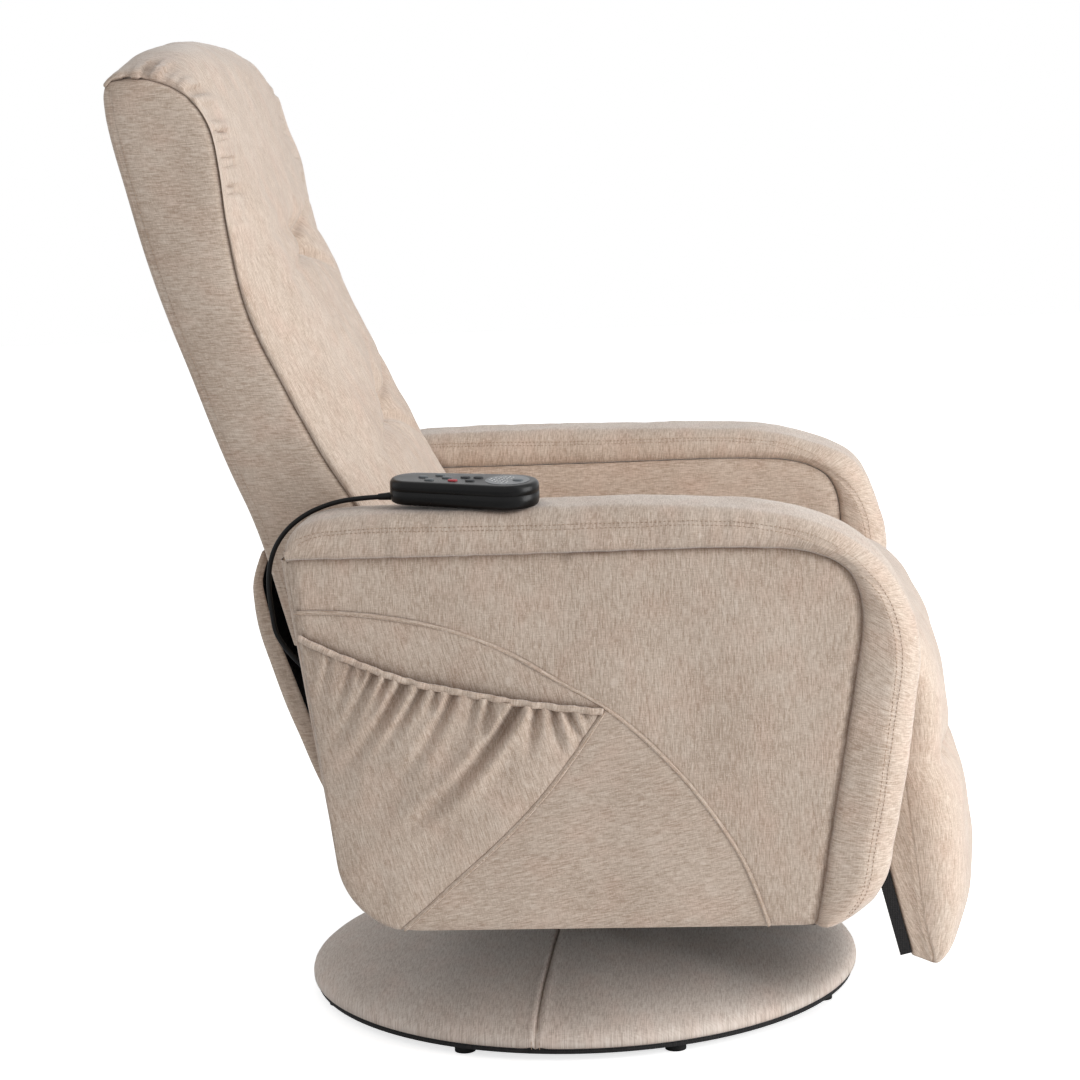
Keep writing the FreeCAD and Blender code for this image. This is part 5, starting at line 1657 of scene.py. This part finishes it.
@dataclass
class Handset:
    """The corded control: shell halves, display disc with its dots, keys and lead."""

    long: float = 151.0
    nose: float = 31.0
    tail: float = 25.0
    place: Matrix = field(init=False)

    def __post_init__(self) -> None:
        """Works out where the handset lies."""
        tilt = Euler((math.radians(4), math.radians(1.7), math.radians(-12)), "XYZ")
        turn = tilt.to_matrix().to_4x4()
        self.place = Matrix.Translation(Vector((-78, -338, 589))) @ turn

    def put(self, points: Array) -> Array:
        """Moves local millimetre points to where the handset lies."""
        flat = points.reshape(-1, 3)
        matrix = np.array(self.place)
        return (flat @ matrix[:3, :3].T + matrix[:3, 3]).reshape(points.shape)

    def plan(self, inset: float, count: int = 96) -> Array:
        """The outline seen from above, drawn in by inset."""
        nose, tail = self.nose - inset, self.tail - inset
        nose_x, tail_x = self.long / 2 - self.nose, self.tail - self.long / 2
        lean = math.acos((nose - tail) / (nose_x - tail_x))
        loop = [(nose_x + nose * math.cos(a), nose * math.sin(a))
                for a in np.linspace(-lean, lean, 40)]
        loop += [(tail_x + tail * math.cos(a), tail * math.sin(a))
                 for a in np.linspace(lean, math.tau - lean, 40)]
        return evenly(np.array(loop + loop[:1]), count + 1)[:-1]

    def shell(self, name: str, levels: Sequence[tuple[float, float]], node: str) -> None:
        """One half of the shell, from (height, inset) levels."""
        grid = np.array([np.column_stack([self.plan(inset), np.full(96, z)]) for z, inset in levels])
        obj = skin(name, self.put(grid), wrap=True, caps=True)
        ride(obj, "handset", "handset_black", FINISH.handset.material(), node)

    @staticmethod
    def oval(x: float, y: float, long: float, wide: float, count: int = 36) -> Array:
        """A round-ended slot in plan."""
        run, r = (long - wide) / 2, wide / 2
        loop = [(x + side * (run + r * math.cos(a)), y + side * r * math.sin(a))
                for side in (1, -1) for a in np.linspace(-math.pi / 2, math.pi / 2, 12)]
        return evenly(np.array(loop + loop[:1]), count + 1)[:-1]

    def keys(self) -> None:
        """The nine keys, each on its own body."""
        grey, dark, red = (f.material() for f in (FINISH.key_grey, FINISH.key_dark, FINISH.key_red))
        layout = {
            "back": (-42, 1, grey), "speed": (-28, 11, grey), "seat": (-32, -11, grey),
            "mode": (-18, 1, grey), "power": (-8, -11, red), "heat": (0, 5, dark),
            "timer": (13, 6, dark), "legs": (9, -9, dark), "zone": (55, 0, grey)}
        levels = ((14.6, 0.3), (20.6, 0.0), (21.5, 0.05), (22.0, 0.35), (22.25, 0.9), (22.3, 1.7))
        for key, (x, y, finish) in layout.items():
            rings = [np.column_stack([self.oval(x, y, 10 - 2 * i, 6.5 - 2 * i), np.full(36, z)])
                     for z, i in levels]
            obj = skin(f"{key}_key", self.put(np.array(rings)), wrap=True, caps=True)
            slots = {"red key": "button_red", "dark key": "button_dark"}
            slot = slots.get(finish.name, "button_grey")
            ride(obj, f"{key}_key", slot, finish, f"{key}_button")

    def dots(self) -> None:
        """Raised white dots on the display, set out as a seated figure's back and legs."""
        centre = self.long / 2 - self.nose
        spots = [(centre + x, y) for x, y in (
            (-17, -3), (-17, 3), (-13.5, -6.5), (-13.5, 0), (-13.5, 6.5), (-9.5, -9.5),
            (-9.5, -3.5), (-9.5, 3.5), (-9.5, 9.5), (-5.5, -12), (-5.5, -6.5), (-5.5, 0),
            (-5.5, 6.5), (-5.5, 12), (-1.5, -14.5), (-1.5, -9), (-1.5, -3.5), (-1.5, 3.5),
            (-1.5, 9), (-1.5, 14.5), (2.5, -12), (2.5, 12), (2, -7), (2, 7))]
        cloud = bpy.data.meshes.new("dot places")
        local = np.array([(x, y, 21.32) for x, y in spots])
        cloud.from_pydata((self.put(local) * MM).tolist(), [], [])
        tree = bpy.data.node_groups.new("display dots", "GeometryNodeTree")
        tree.interface.new_socket("Geometry", in_out="INPUT", socket_type="NodeSocketGeometry")
        tree.interface.new_socket("Radius", in_out="INPUT", socket_type="NodeSocketFloat")
        tree.interface.new_socket("Turn", in_out="INPUT", socket_type="NodeSocketVector")
        tree.interface.new_socket("Geometry", in_out="OUTPUT", socket_type="NodeSocketGeometry")
        s = Sockets(tree)
        given, result = s.node("NodeGroupInput"), s.node("NodeGroupOutput")
        drum = s.node("GeometryNodeMeshCylinder", Vertices=12, Depth=0.0003)
        s.join(given.outputs["Radius"], drum.inputs["Radius"])
        place = s.node("GeometryNodeInstanceOnPoints")
        s.join(given.outputs["Geometry"], place.inputs["Points"])
        s.join(drum.outputs["Mesh"], place.inputs["Instance"])
        s.join(given.outputs["Turn"], place.inputs["Rotation"])
        end_tree(s, place.outputs[0], result, FINISH.dot.material())
        obj = grown("display_dots", cloud, tree,
                    {"Radius": 0.00095, "Turn": tuple(self.place.to_euler())})
        ride(obj, "handset", "display_black", FINISH.dot.material())

    def lead(self) -> None:
        """The cord, a tube along one smooth route."""
        curve = bpy.data.curves.new("handset_lead", "CURVE")
        curve.dimensions = "3D"
        spline = curve.splines.new("NURBS")
        spline.points.add(len(CORD_ROUTE) - 1)
        for point, place in zip(spline.points, CORD_ROUTE):
            point.co = (*place, 1.0)
        spline.order_u = 3
        spline.use_endpoint_u = True
        curve.resolution_u = 12
        holder = linked("lead route", curve)
        path = [tuple(v.co) for v in evaluated_mesh(holder).vertices]
        curve.bevel_depth = 0.0025
        curve.bevel_resolution = 5
        curve.use_fill_caps = True
        bpy.context.evaluated_depsgraph_get().update()
        mesh = evaluated_mesh(holder)
        bpy.data.objects.remove(holder)
        obj = linked("handset_lead", mesh)
        mesh.materials.clear()
        mesh.materials.append(FINISH.sheath.material())
        smooth_shaded(mesh)
        length = float(run_length(np.array(path))[-1])
        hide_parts("handset_cord")
        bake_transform(obj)
        LOG.info("handset_lead is %.3f m long", length)

    def build(self) -> None:
        """The whole handset."""
        lower = ((-2.8, 7.0), (-3.0, 4.5), (-2.5, 2.4), (-1.2, 1.0), (1.0, 0.3), (4.0, 0.0),
                 (10.7, 0.0), (10.9, 0.25))
        upper = ((11.0, 0.25), (11.2, 0.0), (15.0, 0.0), (17.5, 0.35), (19.2, 1.1), (20.4, 2.3),
                 (20.95, 3.9), (21.0, 6.0), (21.0, 12.0))
        self.shell("handset_lower_shell", lower, "handset_base")
        self.shell("handset_upper_shell", upper, "handset_top")
        self.keys()
        self.dots()
        self.lead()


# ---------------------------------------------------------------- parts that keep their CAD shape

@dataclass(frozen=True)
class Hardware:
    """Finishes for the frame, mechanism and other pieces whose CAD shape is shown."""

    def build(self) -> None:
        """Dresses every shown CAD node."""
        dress = (
            (FINISH.steel_black, ("base_column", "swivel_plate", "chassis_beams", "mechanism_plates",
                                  "seat_side_rails", "seat_cross_rails", "back_frame",
                                  "back_hinge_plates", "legrest_brackets")),
            (FINISH.steel_zinc, ("spindle", "swivel_bolts", "push_rods", "seat_springs",
                                 "recline_pins", "legrest_pins")),
            (FINISH.plastic, ("control_box", "power_inlet", "seat_motors", "back_motors",
                              "legrest_motors", "cord_gland")),
            (FINISH.wood, ("right_arm_frame", "left_arm_frame")),
            (FINISH.lining, ("base_plate", "bottom_cover", "front_panel", "rear_rail",
                             "legrest_board")),
            (FINISH.glide, ("base_feet",)),
            (FINISH.nylon, ("column_bush", "thrust_washer")),
            (FINISH.webbing, ("back_webbing",)),
            (FINISH.felt, ("heat_pad",)),
            (FINISH.circuit, ("handset_circuit",)),
            (FINISH.display, ("handset_display",)),
            (FINISH.sheath, ("handset_relief",)),
        )
        for finish, names in dress:
            for name in names:
                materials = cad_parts[name].data.materials
                materials.clear()
                materials.append(finish.material())
        LOG.info("%d frame pieces dressed", sum(len(names) for _, names in dress))


# ---------------------------------------------------------------- studio

@dataclass(frozen=True)
class Studio:
    """Camera, floor and lights."""

    eye: tuple[float, float, float] = (0.206, -2.949, 0.962)
    yaw: float = 4.63
    pitch: float = 9.00
    roll: float = -2.17
    lens: float = 90.27
    floor_half: float = 9000.0
    ambient: float = 0.53

    def camera(self) -> None:
        """A long lens, a little above arm height, at the chair's right side."""
        yaw, pitch, roll = (math.radians(a) for a in (self.yaw, self.pitch, self.roll))
        ahead = Vector((-math.sin(yaw) * math.cos(pitch),
                        math.cos(yaw) * math.cos(pitch), -math.sin(pitch)))
        level = Vector((math.cos(yaw), math.sin(yaw), 0))
        rise = level.cross(ahead)
        right = level * math.cos(roll) + rise * math.sin(roll)
        up = rise * math.cos(roll) - level * math.sin(roll)
        data = bpy.data.cameras.new("camera")
        data.lens, data.sensor_width = self.lens, 36.0
        data.clip_start, data.clip_end = 0.05, 60.0
        camera = linked("camera", data)
        turn = Matrix((right, up, -ahead)).transposed()
        camera.matrix_world = Matrix.Translation(self.eye) @ turn.to_4x4()
        bpy.context.scene.camera = camera

    def floor(self) -> None:
        """A plain white floor that keeps the chair's shadow."""
        corners = np.array([(-1, -1, 0), (1, -1, 0), (1, 1, 0), (-1, 1, 0.0)]) * self.floor_half
        obj = new_object("floor", corners, [(0, 1, 2, 3)])
        material, s, shader = blank("white floor")
        place = s.node("ShaderNodeTexCoord").outputs["Object"]
        tone = s.noise(place, (3, 3, 3), 2.0)
        s.join(s.mix(tone, (0.90, 0.90, 0.90, 1), (0.92, 0.92, 0.92, 1)), shader.inputs["Base Color"])
        shader.inputs["Roughness"].default_value = 0.9
        shader.inputs["Specular IOR Level"].default_value = 0.1
        glow = s.node("ShaderNodeEmission")
        path = s.node("ShaderNodeLightPath")
        s.join(s.maths("MULTIPLY", path.outputs["Is Camera Ray"], 0.72), glow.inputs["Strength"])
        add = s.node("ShaderNodeAddShader")
        s.join(shader.outputs[0], add.inputs[0])
        s.join(glow.outputs[0], add.inputs[1])
        s.join(add.outputs[0], material.node_tree.nodes["Material Output"].inputs["Surface"])
        obj.data.materials.append(material)

    @staticmethod
    def lamp(name: str, at: tuple[float, float, float], size: float, watts: float) -> None:
        """A square soft light that faces the chair."""
        data = bpy.data.lights.new(name, "AREA")
        data.shape, data.size, data.energy = "SQUARE", size, watts
        obj = linked(name, data)
        aim = (Vector((0, 0, 0.5)) - Vector(at)).to_track_quat("-Z", "Y")
        obj.matrix_world = Matrix.Translation(at) @ aim.to_matrix().to_4x4()

    def build(self) -> None:
        """Everything round the chair."""
        scene = bpy.context.scene
        scene.view_settings.view_transform = "Standard"
        self.camera()
        self.floor()
        world = bpy.data.worlds.new("studio")
        scene.world = world
        world.use_nodes = True
        s = Sockets(world.node_tree)
        back = world.node_tree.nodes["Background"]
        path = s.node("ShaderNodeLightPath")
        through = s.maths("MAXIMUM", path.outputs["Is Glossy Ray"],
                          path.outputs["Is Transmission Ray"])
        seen = s.maths("MAXIMUM", path.outputs["Is Camera Ray"], through)
        s.join(s.spread(seen, 0, 1, self.ambient, 1.0), back.inputs["Strength"])
        back.inputs["Color"].default_value = (1, 1, 1, 1)
        self.lamp("right", (3.0, -0.9, 0.9), 2.0, 78)
        self.lamp("top", (1.6, -0.9, 2.4), 1.5, 8)


def main() -> None:
    """Builds the studio and the chair."""
    logging.basicConfig(level=logging.INFO, format="%(name)s: %(message)s")
    Studio().build()
    Handset().build()
    BaseDisc().build()
    for side, name, pouch in ((-1, "right", True), (1, "left", False)):
        arm = Arm(side, name)
        arm.build()
        arm.rows.build()
        SideDetail(side, name, pouch).build()
    Backrest().build()
    Skirt().build()
    SeatCushion().build()
    LegRest().build()
    Hardware().build()


if __name__ == "__main__":
    main()
